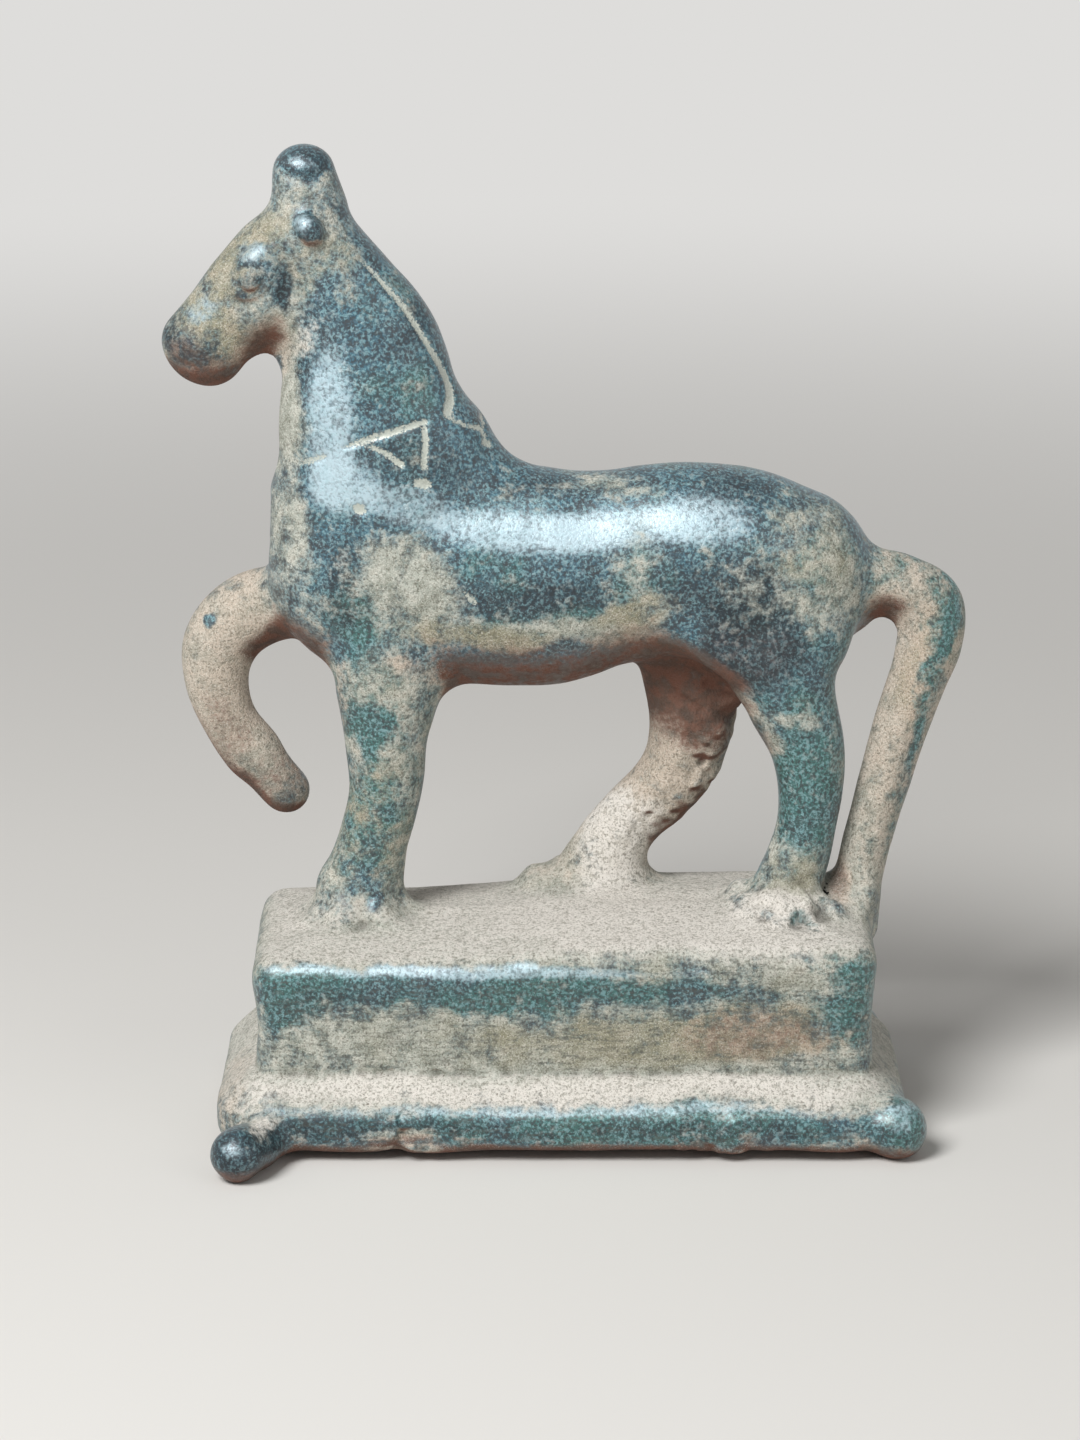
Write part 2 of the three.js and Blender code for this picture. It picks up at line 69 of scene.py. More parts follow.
MM = 0.001
FINE = 0.25  # one cell of the volume
COARSE = 2 * FINE
FINE_REACH = 1.6  # how far from a surface the fine distances are kept
COARSE_REACH = 7.0
EDGE = 2.0  # room left round the casting
MIDDLE = 3.2  # y of the horse's middle plane
PLINTH_SHIFT = 0.05  # the plinth's middle lies this far to the left of x = 0

low = np.floor(np.array(cad_box[0]) / MM / COARSE) * COARSE - EDGE
span = np.array(cad_box[1]) / MM + EDGE - low
coarse_cells = tuple(int(n) + 1 for n in np.ceil(span / COARSE))
fine_cells = tuple(2 * n - 1 for n in coarse_cells)

plinth_low, plinth_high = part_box("plinth")
plinth_middle = (plinth_low + plinth_high) / 2 / MM
# Where the members' x = y = 0 is
HOME = np.array([plinth_middle.x + PLINTH_SHIFT, plinth_middle.y, 0.0])

casting = np.full(fine_cells, FINE_REACH, np.float32)  # distance to the skin of the whole casting
coarse_volume = {}  # the same for each member


def distances(shape, cell, reach):
    """Distance to a closed shape over the whole volume, less than nought inside it."""
    points, triangles, quads = shape
    grid = vdb.FloatGrid.createLevelSetFromPolygons(
        np.ascontiguousarray(points - low, dtype=np.float32),
        triangles=np.ascontiguousarray(triangles, dtype=np.uint32).reshape(-1, 3),
        quads=np.ascontiguousarray(quads, dtype=np.uint32).reshape(-1, 4),
        transform=vdb.createLinearTransform(voxelSize=cell),
        halfWidth=reach / cell,
    )
    room = np.empty(fine_cells if cell == FINE else coarse_cells, np.float32)
    grid.copyToArray(room)
    return room


def lay_in(name, shape):
    """Adds a shape to the member of that name and to the casting."""
    np.minimum(casting, distances(shape, FINE, FINE_REACH), out=casting)
    room = distances(shape, COARSE, COARSE_REACH)
    coarse_volume[name] = np.minimum(coarse_volume[name], room) if name in coarse_volume else room


def spline(points, per):
    """Centripetal Catmull-Rom curve through the points, with so many steps between two of them."""
    points = np.asarray(points, float)
    ends = np.vstack([2 * points[0] - points[1], points, 2 * points[-1] - points[-2]])
    gaps = np.maximum(np.linalg.norm(np.diff(ends, axis=0), axis=1) ** 0.5, 1e-4)
    u = np.arange(per)[:, None] / per
    rows = []
    for k in range(1, len(points)):
        a, b, c, d = ends[k - 1:k + 3]
        before, here, after = gaps[k - 1:k + 2]
        start = ((b - a) / before - (c - a) / (before + here) + (c - b) / here) * here
        end = ((c - b) / here - (d - b) / (here + after) + (d - c) / after) * here
        square, cube = 3 * (c - b) - 2 * start - end, 2 * (b - c) + start + end
        rows.append(b + start * u + square * u**2 + cube * u**3)
    return np.vstack(rows + [points[-1:]])


STEPS = 8  # rings from one station of a member to the next
TURNS = 48  # points round it
CAP_RINGS = 7  # rings on a rounded end


def roll(name, stations, caps, roundness=2.0):
    """Rolls a member and lays it in: an oval that follows a bent spine, with ends that bulge by
    the two caps. A station is x, y, z and the half-thickness in the horse's profile and across
    it, and y is left out in the middle plane. Roundness 2 gives an oval, less a lozenge."""
    stations = np.array([s if len(s) == 5 else (s[0], MIDDLE, *s[1:]) for s in stations], float)
    spine = spline(stations[:, :3], STEPS)
    girth = spline(stations[:, 3:], STEPS)
    along = np.gradient(spine, axis=0)
    along /= np.linalg.norm(along, axis=1, keepdims=True)
    cap = np.linspace(0, np.pi / 2, CAP_RINGS + 2)[1:-1]
    centre = np.vstack([
        spine[0] - along[0] * caps[0] * np.sin(cap[::-1, None]),
        spine,
        spine[-1] + along[-1] * caps[1] * np.sin(cap[:, None]),
    ])
    girth = np.vstack([girth[0] * np.cos(cap[::-1, None]), girth, girth[-1] * np.cos(cap[:, None])])
    first, last = np.repeat(along[:1], CAP_RINGS, 0), np.repeat(along[-1:], CAP_RINGS, 0)
    poles = np.vstack([spine[0] - along[0] * caps[0], spine[-1] + along[-1] * caps[1]])
    along = np.vstack([first, along, last])
    across = np.array([0.0, 1.0, 0.0]) - along * along[:, 1:2]
    across /= np.linalg.norm(across, axis=1, keepdims=True)
    fore = np.cross(along, across)
    angle = np.linspace(0, 2 * np.pi, TURNS, endpoint=False)
    lift, side = np.sin(angle), np.cos(angle)
    swell = (abs(lift) ** roundness + abs(side) ** roundness) ** (-1 / roundness)
    lift, side = lift * swell, side * swell
    rings = (
        centre[:, None]
        + fore[:, None] * girth[:, None, :1] * lift[None, :, None]
        + across[:, None] * girth[:, None, 1:] * side[None, :, None]
    )
    lay_in(name, closed_skin(rings, poles))


def closed_skin(rings, poles):
    """Closed skin over a row of rings, with a pole at each end."""
    count, turns = rings.shape[:2]
    points = np.vstack([rings.reshape(-1, 3), poles]) + HOME
    at = np.arange(count)[:, None] * turns
    here, after = np.arange(turns), (np.arange(turns) + 1) % turns
    quads = np.stack([at[:-1] + here, at[:-1] + after, at[1:] + after, at[1:] + here], -1)
    first, last = count * turns, count * turns + 1
    end = at[-1] + here
    triangles = np.vstack([
        np.stack([here * 0 + first, after, here], -1),
        np.stack([here * 0 + last, end, at[-1] + after], -1),
    ])
    return points, triangles, quads.reshape(-1, 4)


roll("trunk", [
    (-17.1, 51.6, 10.3, 6.3), (-9, 50.9, 10.3, 6.9), (-1.4, 50.7, 10.2, 7),
    (4.4, 51.5, 9, 6.9), (10.6, 52.3, 8.9, 7), (15.5, 51.9, 8.9, 7),
    (20.3, 50.6, 8.4, 6.7),
], (9.9, 8))
roll("trunk", [  # the fold of the near flank, which runs down to the hind leg
    (8, -0.1, 49.4, 2.6, 2.8), (12, -0.3, 46.9, 2.6, 2.9), (15.3, -0.2, 44.4, 2.5, 3),
    (17.5, 0, 42.4, 2.2, 2.8),
], (2, 1))


# ----------------------------------------------------------------------------
# Neck. A tapering member luted on the chest, deeper in profile than it is thick. Cast in one with
# the trunk.

roll("neck", [
    (-15.9, 55, 11, 6.3), (-16.35, 61.3, 10.4, 6.1), (-17.5, 66, 8.5, 5.6),
    (-18.2, 72, 7.1, 4.8), (-20.3, 77.3, 5.35, 4.2), (-22.15, 82, 3.6, 3.6),
], (3, 2))


# ----------------------------------------------------------------------------
# Head. A wedge with a round muzzle and a flat oval plate on each cheek, which carries the eye.
# Cast in one with the neck.

CHEEK = (-27.7, 79.3)  # x and z of the plate's middle
CHEEK_TILT = 58  # degrees
EYE = (-28.1, 78.6)  # x and z


def bead(centre, halves, tilt=0.0):
    """A swollen pellet. Tilt turns it in the horse's profile, in degrees."""
    across = np.linspace(0, np.pi, 15)[1:-1, None]
    about = np.linspace(0, 2 * np.pi, 28, endpoint=False)[None]
    ball = np.stack([
        np.sin(across) * np.cos(about), -np.cos(across) + 0 * about, np.sin(across) * np.sin(about),
    ], -1)
    poles = np.array([[0.0, -1, 0], [0, 1, 0]])
    c, s = np.cos(np.radians(tilt)), np.sin(np.radians(tilt))
    turn = np.array([[c, 0, s], [0, 1, 0], [-s, 0, c]])
    return closed_skin((ball * halves) @ turn + centre, (poles * halves) @ turn + centre)


roll("head", [
    (-22.9, 83.4, 3.4, 3.5), (-25.3, 79.9, 4.65, 3.9), (-28.6, 76.4, 4.4, 3.5),
    (-31, 74, 3.85, 3.1), (-32.65, 71.9, 4, 3.3),
], (2.1, 3.4))
for side in (-1, 1):
    lay_in("head", bead((CHEEK[0], MIDDLE + side * 2.8, CHEEK[1]), (3.1, 1.5, 1.95), CHEEK_TILT))


# ----------------------------------------------------------------------------
# Topknot. The knot of mane that stands on the poll, with a rounded cap.

roll("topknot", [
    (-22.8, 84.5, 3.4, 3), (-23.2, 86.6, 3.1, 2.7), (-23.35, 87.8, 2.85, 2.6),
], (1, 2.5))


# ----------------------------------------------------------------------------
# Ears and eyes. Small pellets pressed on the sides of the head before casting.

for side, word in ((-1, "left"), (1, "right")):
    lay_in(word + "_ear", bead((-22.7, MIDDLE + side * 3.75, 83.2), (1.15, 1.3, 1.6), 35))
    lay_in(word + "_eye", bead((EYE[0], MIDDLE + side * 3.6, EYE[1]), (0.95, 0.85, 0.95)))


# ----------------------------------------------------------------------------
# Forelegs. The left one stands, the right one is lifted and folded. Rolled members, luted on the
# chest. The standing hoof is soldered to the deck.

roll("left_foreleg", [
    (-15.6, 1.2, 51.3, 6, 4), (-16, 1.1, 44.7, 5.3, 4), (-16.2, 1, 39.8, 4.75, 3.8),
    (-16.4, 0.9, 35.8, 3.8, 3.4), (-16.4, 0.8, 32.2, 3.45, 3.1), (-16.75, 0.7, 29.5, 3.25, 2.9),
    (-17.55, 0.7, 26.7, 3.25, 2.9), (-18.3, 0.6, 23.7, 3.55, 3), (-18.9, 0.6, 21.4, 4.15, 3.3),
    (-19.3, 0.5, 18.3, 3.8, 3.5),
], (2.4, 0.4))
roll("right_foreleg", [
    (-18.5, 5.5, 48.7, 3.8, 3.6), (-24.5, 6.6, 47.6, 3.4, 3.5), (-29, 7, 46.4, 3.65, 3.4),
    (-31.9, 7, 43.7, 3.35, 3.1), (-32.25, 7, 39.8, 3, 2.9), (-31.1, 7, 35.9, 2.6, 2.6),
    (-29.1, 7, 33, 2.8, 2.5), (-27.5, 7, 31, 2.4, 2.3), (-26, 7, 29.2, 2.35, 2.2),
], (2, 2.3))


# ----------------------------------------------------------------------------
# Hind legs. Both stand, the right one set forward under the belly. Rolled members, luted on the
# rump, soldered to the deck at the hooves.

roll("left_hind_leg", [
    (20.2, 0.8, 51, 5.4, 3.4), (20.8, 0.7, 47.7, 5.8, 4.2), (19.9, 0.5, 43.7, 5.5, 4.2),
    (20.7, 0.4, 39.9, 4.2, 3.7), (22.2, 0.2, 35.6, 3.45, 3.1), (22.6, 0, 31.5, 3, 2.8),
    (22.2, -0.1, 27.5, 2.8, 2.7), (21.4, -0.3, 24.4, 3, 2.8), (20.6, -0.4, 21.9, 3.2, 3),
    (20.5, -0.5, 18.3, 3.3, 3.2),
], (2.4, 0.4))
roll("right_hind_leg", [
    (11.5, 6.1, 49, 4.8, 3.6), (11.5, 6.2, 43.7, 4.8, 3.6), (11.9, 6.4, 37.8, 4.2, 3.5),
    (11.7, 6.5, 35, 3.85, 3.3), (10.9, 6.6, 32, 3.55, 3.2), (9, 6.7, 29.3, 3.25, 3),
    (6.0, 6.8, 26.3, 3.15, 2.8), (4.4, 6.8, 23.7, 3.5, 3.1), (3.7, 6.9, 21.3, 4.4, 3.7),
    (3.9, 7, 18.3, 4.8, 4.2),
], (2.4, 0.4))


# ----------------------------------------------------------------------------
# Tail. A bar with blunt ridges, hammered to a lozenge, that leaves the rump level, bends down and
# is soldered to the end of the deck.

roll("tail", [
    (22.5, 3.2, 51.6, 3, 2.8), (27.7, 3.2, 50.6, 2.8, 2.7), (30.8, 3.1, 50, 2.8, 2.7),
    (33.5, 3, 48.2, 3, 2.7), (33.7, 2.8, 44.7, 2.9, 2.7), (32.4, 2.5, 40.9, 2.8, 2.6),
    (31, 2.2, 37, 2.7, 2.4), (29.95, 2, 33.1, 2.5, 2.3), (28.85, 1.7, 29.3, 2.35, 2.2),
    (27.9, 1.5, 25.5, 2.3, 2.1), (27.2, 1.2, 21.6, 2.3, 2), (27.2, 0.9, 17.3, 2, 1.9),
], (1.5, 0.9), roundness=1.6)


# ----------------------------------------------------------------------------
# Plinth. A hollow box, open below, with a rounded edge and a swollen deck that climbs a little
# towards the tail. Cast.

FRAME_TOP = 7.6  # where the foot frame ends, over the ground
DECK = 18.3  # the edge of the deck, over the ground
HALF_LENGTH = 28.45
HALF_WIDTH = 11.5
CORNER = 2.6  # radius of the upright corners
DECK_EDGE = 2.1  # radius of the edge round the deck
DECK_CROWN = 0.9  # how much the deck swells
DECK_RISE = 1.3  # how much it climbs towards the tail
FAR_SLOPE = 0.021  # and towards the far side
OVERHANG = 0.35  # how far the sides stand in from the edge
WALL = 2.2
ROOF = DECK - 2.4


def climb(x, y):
    """How much the deck has risen at x and y."""
    t = np.clip((x + PLINTH_SHIFT + 0.6 * HALF_LENGTH) / HALF_LENGTH, 0, 1)
    rise = t * t * (3 - 2 * t)
    return DECK_RISE * rise + FAR_SLOPE * (y + HALF_WIDTH) * (1 + 0.6 * rise)


def level_ring(inset, z, share):
    """One level outline of the plinth, set in by a distance. Share is how much it climbs."""
    corner = max(CORNER - inset, 0.3)
    long, wide = HALF_LENGTH - inset - corner, HALF_WIDTH - inset - corner
    turn = np.linspace(0, np.pi / 2, 9)
    ways = ((1, 1), (-1, 1), (-1, -1), (1, -1))
    ring = []
    for quarter, (sx, sy) in enumerate(ways):
        angle = turn + quarter * np.pi / 2
        bend = [sx * long + corner * np.cos(angle), sy * wide + corner * np.sin(angle)]
        ring.append(np.stack(bend, -1))
        next_x, next_y = ways[(quarter + 1) % 4]
        start = ring[-1][-1]
        finish = start + [(next_x - sx) * long, (next_y - sy) * wide]
        ring.append(start + (finish - start) * np.linspace(0, 1, 26)[1:-1, None])
    ring = np.vstack(ring)
    x = ring[:, 0] - PLINTH_SHIFT
    return np.stack([x, ring[:, 1], z + share * climb(x, ring[:, 1])], -1)


def stack(levels):
    """Closed skin over level outlines, each given as inset, z and climb."""
    rings = np.stack([level_ring(*level) for level in levels])
    poles = np.stack([rings[0].mean(0), rings[-1].mean(0)])
    poles[:, 2] = [levels[0][1], levels[-1][1] + levels[-1][2] * climb(0, 0)]
    return closed_skin(rings, poles)


side_levels = [(OVERHANG, z, 0.0) for z in (FRAME_TOP - 3, FRAME_TOP, 9.5)]
side_levels += [(OVERHANG + 0.12, 11.6, 0.3), (OVERHANG, 13.2, 0.5)]
side_levels += [(0.2, 14.4, 0.8), (0.04, 15.4, 0.95)]
for angle in np.linspace(0, np.pi / 2, 8):
    inset, drop = DECK_EDGE * (1 - np.cos(angle)), DECK_EDGE * (1 - np.sin(angle))
    side_levels.append((inset, DECK - drop, 1.0))
for share in np.linspace(0, 1, 8)[1:]:
    inset = DECK_EDGE + (HALF_WIDTH - 1 - DECK_EDGE) * share
    side_levels.append((inset, DECK + DECK_CROWN * np.sin(share * np.pi / 2), 1.0))
lay_in("plinth", stack(side_levels))
hollow_levels = [(WALL, z, 0) for z in (-3, 4, ROOF - 1.5)]
hollow_levels += [(WALL + 0.4, ROOF - 0.4, 0), (WALL + 1.5, ROOF, 0)]
hollow = distances(stack(hollow_levels), FINE, FINE_REACH)


# ----------------------------------------------------------------------------
# Foot frame. A moulding with an upright nose and a slope that runs up to the plinth, carried round
# it on a rounded oblong path and cast on.

GROUND_GAP = 0.8  # the ball feet hold it this far off the ground
REACH = 3.1  # how far it stands out from the plinth
NOSE_TOP = 4.9
NOSE_ROUND = 0.7
FRAME_SHIFT = 0.3  # it sits this far to the left under the plinth


def feed(tree, slot, value):
    """Links a socket, or one that is wrapped, to a node's slot, or sets a plain value there."""
    value = getattr(value, "socket", value)
    if isinstance(value, bpy.types.NodeSocket):
        tree.links.new(value, slot)
    else:
        slot.default_value = value


def wired(tree, kind, settings=None, **sockets):
    """Adds a node. Settings come first, then its sockets, by name, as values or as links."""
    node = tree.nodes.new(kind)
    for key, value in (settings or {}).items():
        setattr(node, key, value)
    for name, value in sockets.items():
        matches = [s for s in node.inputs if s.name.replace(" ", "") == name and s.enabled]
        feed(tree, matches[0], value)
    return node


def growth(name, **sizes):
    """A Geometry Nodes tree that takes a mesh and sizes by name, and the sockets it is given."""
    tree = bpy.data.node_groups.new(name, "GeometryNodeTree")
    for size, kind in (("Geometry", "Geometry"), *sizes.items()):
        tree.interface.new_socket(size, in_out="INPUT", socket_type="NodeSocket" + kind)
    tree.interface.new_socket("Geometry", in_out="OUTPUT", socket_type="NodeSocketGeometry")
    return tree, tree.nodes.new("NodeGroupInput").outputs


def end_growth(tree, shape):
    """Ends the tree with the shape's instances made real and its material set."""
    solid = wired(tree, "GeometryNodeRealizeInstances", Geometry=shape.outputs[0])
    dressed = wired(tree, "GeometryNodeSetMaterial", Geometry=solid.outputs[0], Material=wax)
    tree.links.new(dressed.outputs[0], tree.nodes.new("NodeGroupOutput").inputs[0])


def grown(mesh, tree, sizes):
    """Points, triangles and quads of what the tree makes of a mesh, with its named inputs set."""
    piece = bpy.data.objects.new(tree.name, mesh)
    bpy.context.scene.collection.objects.link(piece)
    modifier = piece.modifiers.new(tree.name, "NODES")
    modifier.node_group = tree
    for item in tree.interface.items_tree:
        if item.item_type == "SOCKET" and item.in_out == "INPUT" and item.name in sizes:
            modifier[item.identifier] = sizes[item.name]
    bpy.context.view_layer.update()
    evaluated = piece.evaluated_get(bpy.context.evaluated_depsgraph_get())
    made = bpy.data.meshes.new_from_object(evaluated)
    piece.modifiers.remove(modifier)
    bpy.data.objects.remove(piece)
    points = np.empty(len(made.vertices) * 3, np.float32)
    made.vertices.foreach_get("co", points)
    faces = [tuple(p.vertices) for p in made.polygons]
    triangles = [f for f in faces if len(f) == 3]
    for face in faces:
        if len(face) > 4:
            triangles += [(face[0], face[k], face[k + 1]) for k in range(1, len(face) - 1)]
    quads = [f for f in faces if len(f) == 4]
    triangles, quads = np.array(triangles, np.uint32), np.array(quads, np.uint32)
    return points.reshape(-1, 3), triangles.reshape(-1, 3), quads.reshape(-1, 4)


wax = bpy.data.materials.new("wax")

moulding, given = growth("moulding", Length="Float", Width="Float", Corner="Float")
oblong = wired(
    moulding, "GeometryNodeCurvePrimitiveQuadrilateral",
    Width=given["Length"], Height=given["Width"],
)
rounded = wired(
    moulding, "GeometryNodeFilletCurve", {"mode": "POLY"},
    Curve=oblong.outputs[0], Count=8, Radius=given["Corner"], LimitRadius=True,
)
profile = wired(moulding, "GeometryNodeMeshToCurve", Mesh=given["Geometry"])
end_growth(moulding, wired(
    moulding, "GeometryNodeCurveToMesh", Curve=rounded.outputs[0], ProfileCurve=profile.outputs[0],
))

# The profile: x outwards from the plinth's side, y down towards the ground
nose = [(-WALL, GROUND_GAP), (REACH - 1.2, GROUND_GAP), (REACH - 0.45, GROUND_GAP + 0.35)]
nose += [(REACH, GROUND_GAP + 1.2), (REACH, NOSE_TOP - NOSE_ROUND), (REACH - 0.2, NOSE_TOP - 0.25)]
nose += [(REACH - 0.5, NOSE_TOP), (1.2, 6.3), (-OVERHANG, FRAME_TOP), (-WALL, FRAME_TOP)]
wire = bpy.data.meshes.new("nose")
links = [(k, (k + 1) % len(nose)) for k in range(len(nose))]
wire.from_pydata([(float(x), -float(z), 0.0) for x, z in nose], links, [])
sizes = {"Length": 2 * HALF_LENGTH, "Width": 2 * HALF_WIDTH, "Corner": CORNER}
points, triangles, quads = grown(wire, moulding, sizes)
lay_in("foot_frame", (points + HOME - [FRAME_SHIFT, 0, 0], triangles, quads))


# ----------------------------------------------------------------------------
# Ball feet. Knobs of wax pressed out under the corners of the foot frame. The near left one stands
# clear of the frame on a short neck.

# Each foot: x, y, z and radius from the frame outwards
FEET = {
    "foot_near_left": (
        (-26.3, -11, 2.5, 2.7), (-27.7, -14.8, 2.15, 2.25), (-29.35, -18.3, 2.35, 2.55),
    ),
    "foot_near_right": ((27.1, -9.5, 2.85, 2.9), (28.5, -10.9, 2.85, 2.9), (30, -12.4, 2.8, 2.95)),
    "foot_far_left": ((-25.5, 10.5, 2.65, 3), (-26.7, 12.3, 2.65, 2.9), (-27.9, 14.1, 2.65, 3)),
    "foot_far_right": ((25.4, 10.5, 2.65, 3), (26.6, 12.3, 2.65, 2.9), (27.8, 14.1, 2.65, 3)),
}
for name, stations in FEET.items():
    outer_cap = 2.5 if name == "foot_near_left" else 3
    roll(name, [(*station, station[-1]) for station in stations], (3, outer_cap))


# ----------------------------------------------------------------------------
# Solder. Lumpy rings of grey-white metal that hold the hooves and the tail on the deck, each a low
# mound with a scatter of lumps round it. The one at the left hind hoof is heaped up in front.

def random_vector(tree, seed, least, most):
    """Socket of a random vector for each point, between two corners."""
    node = wired(tree, "FunctionNodeRandomValue", {"data_type": "FLOAT_VECTOR"}, Seed=seed)
    node.inputs[0].default_value, node.inputs[1].default_value = least, most
    return node.outputs[0]


lumps, given = growth("lumps", Count="Int", Radius="Float", Size="Float", Seed="Int")
ring = wired(lumps, "GeometryNodeMeshCircle", Vertices=given["Count"], Radius=given["Radius"])
shift = random_vector(lumps, given["Seed"], (-0.6, -0.6, -0.5), (0.6, 0.6, 0.6))
strewn = wired(lumps, "GeometryNodeSetPosition", Geometry=ring.outputs[0], Offset=shift)
lump = wired(lumps, "GeometryNodeMeshIcoSphere", Radius=given["Size"], Subdivisions=2)
scale = random_vector(lumps, given["Seed"], (0.6, 0.6, 0.4), (1.3, 1.3, 0.9))
end_growth(lumps, wired(
    lumps, "GeometryNodeInstanceOnPoints",
    Points=strewn.outputs[0], Instance=lump.outputs[0], Scale=scale,
))

# Each ring: node, x, y, radius, height, then the count, radius, size and seed of its lumps
SOLDER = (
    ("solder_left_fore", -19.3, 0.5, 4.9, 1.7, 7, 4.2, 0.7, 3),
    ("solder_left_hind", 20.3, -0.7, 4.7, 2.3, 24, 4.3, 1.1, 5),
    ("solder_right_hind", 2.5, 7.0, 7.2, 2.2, 9, 5.6, 0.8, 8),
    ("solder_tail", 25.6, 0.6, 3.4, 2.4, 7, 2.7, 0.8, 2),
)
for name, x, y, radius, height, count, reach, size, seed in SOLDER:
    ground = DECK + climb(x, y) + 0.1
    flat = min(1, (HALF_WIDTH - 0.3 - abs(y)) / radius)  # so that it stays on the deck
    lay_in(name, bead((x, y, ground), (radius, radius * flat, height)))
    sizes = {"Count": count, "Radius": reach, "Size": size, "Seed": seed}
    points, triangles, quads = grown(bpy.data.meshes.new(name), lumps, sizes)
    lay_in(name, (points * [1, flat, 1] + HOME + [x, y, ground + 0.45 * height], triangles, quads))
lay_in("solder_left_hind", bead((20, -3.9, DECK + climb(20, -3.9)), (3.2, 2.4, 2.6)))


# ----------------------------------------------------------------------------
# Casting. The wax members are smeared together at their joints, each joint with its own hollow
# radius, and then cast as one skin. The mould leaves faint waves on it.

JOINTS = (
    (("trunk", "neck"), 5.3),
    (("trunk", "neck", "left_foreleg", "right_foreleg"), 2.4),
    (("trunk", "left_hind_leg", "right_hind_leg"), 1.8),
    (("trunk", "tail"), 2.4),
    (("neck", "head"), 1.0),
    (("neck", "head", "topknot"), 1.9),
    (("plinth", "solder_left_fore", "left_foreleg"), 2.0),
    (("plinth", "solder_right_hind", "right_hind_leg"), 1.6),
    (("plinth", "solder_left_hind", "left_hind_leg"), 0.6),
    (("plinth", "solder_tail", "tail"), 1.5),
    (("foot_frame", *FEET), 1.3),
)


def finer(room):
    """A coarse volume at the fine spacing."""
    for axis in range(3):
        a = np.moveaxis(room, axis, 0)
        b = np.empty((2 * len(a) - 1,) + a.shape[1:], np.float32)
        b[::2] = a
        b[1::2] = (a[:-1] + a[1:]) / 2
        room = np.moveaxis(b, 0, axis)
    return np.ascontiguousarray(room)


def skin_of(room, cell, level=0.0):
    """Points and quads of the surface where the volume has that value."""
    grid = vdb.FloatGrid(background=float(room.max()))
    grid.copyFromArray(room)
    grid.transform = vdb.createLinearTransform(voxelSize=cell)
    points, quads = grid.convertToQuads(level)
    return points + low.astype(np.float32), quads


def blurred(room, sigma):
    """The volume softened over so many millimetres."""
    reach = int(3 * sigma / FINE) + 1
    weights = np.exp(-0.5 * (np.arange(-reach, reach + 1) * FINE / sigma) ** 2)
    weights /= weights.sum()
    for axis in range(3):
        a = np.moveaxis(room, axis, 0)
        padded = np.concatenate([np.repeat(a[:1], reach, 0), a, np.repeat(a[-1:], reach, 0)])
        total = np.zeros_like(a)
        for k, weight in enumerate(weights):
            total += np.float32(weight) * padded[k:k + len(a)]
        room = np.moveaxis(total, 0, axis)
    return np.ascontiguousarray(room)


def cloud(size, seed):
    """Smooth random waves of so many millimetres through the whole volume, about -1 to 1."""
    counts = [int(n * FINE / size) + 5 for n in fine_cells]
    room = np.random.default_rng(seed).standard_normal(counts).astype(np.float32)
    for axis, cells in enumerate(fine_cells):
        place = np.arange(cells) * FINE / size
        t = place % 1
        weights = np.zeros((cells, counts[axis]), np.float32)
        shares = ((1 - t) ** 3, 3 * t**3 - 6 * t**2 + 4, 3 * (t**2 - t**3 + t) + 1, t**3)
        for k, share in enumerate(shares):
            weights[np.arange(cells), place.astype(int) + k] = share / 6
        room = np.moveaxis(np.tensordot(weights, room, (1, axis)), 0, axis)
    return np.ascontiguousarray(room / room.std() / 2)


SMEAR = 0.35  # how far the finger rounds an edge
for names, radius in JOINTS:
    joined = np.minimum.reduce([coarse_volume[n] for n in names])
    points, quads = skin_of(joined, COARSE, radius)
    filled = distances((points, np.empty((0, 3)), quads), COARSE, radius + FINE_REACH) + radius
    casting = np.minimum(casting, finer(filled))
casting = np.clip(blurred(np.minimum(casting, FINE_REACH), SMEAR), -FINE_REACH, FINE_REACH)
waves = cloud(1.4, 12)
casting += 0.06 * cloud(4.0, 11) + 0.03 * waves

# The core leaves the hollow, with rough walls, and the feet end at the ground
casting = np.maximum(casting, -hollow + 0.08 * cloud(2.0, 13))
height = low[2] + np.arange(fine_cells[2]) * FINE
casting = np.maximum(casting, -height[None, None, :].astype(np.float32))


# ----------------------------------------------------------------------------
# Pegs. The round tangs of the standing legs, which come through the deck and end in the hollow.

PEG = 1.4  # radius
PEGS = (("left_foreleg", -19.3, 0.5), ("left_hind_leg", 20.5, -0.5), ("right_hind_leg", 3.9, 7.0))
for name, x, y in PEGS:
    roll(name, [(x, y, z, PEG, PEG) for z in (15.2, 16.5, 18.5)], (0.2, 0.2))


# ----------------------------------------------------------------------------
# Harness lines. Cut in the near side of the neck with a graver, and now filled with pale earth. The
# graver's track follows paths that are laid on the skin.

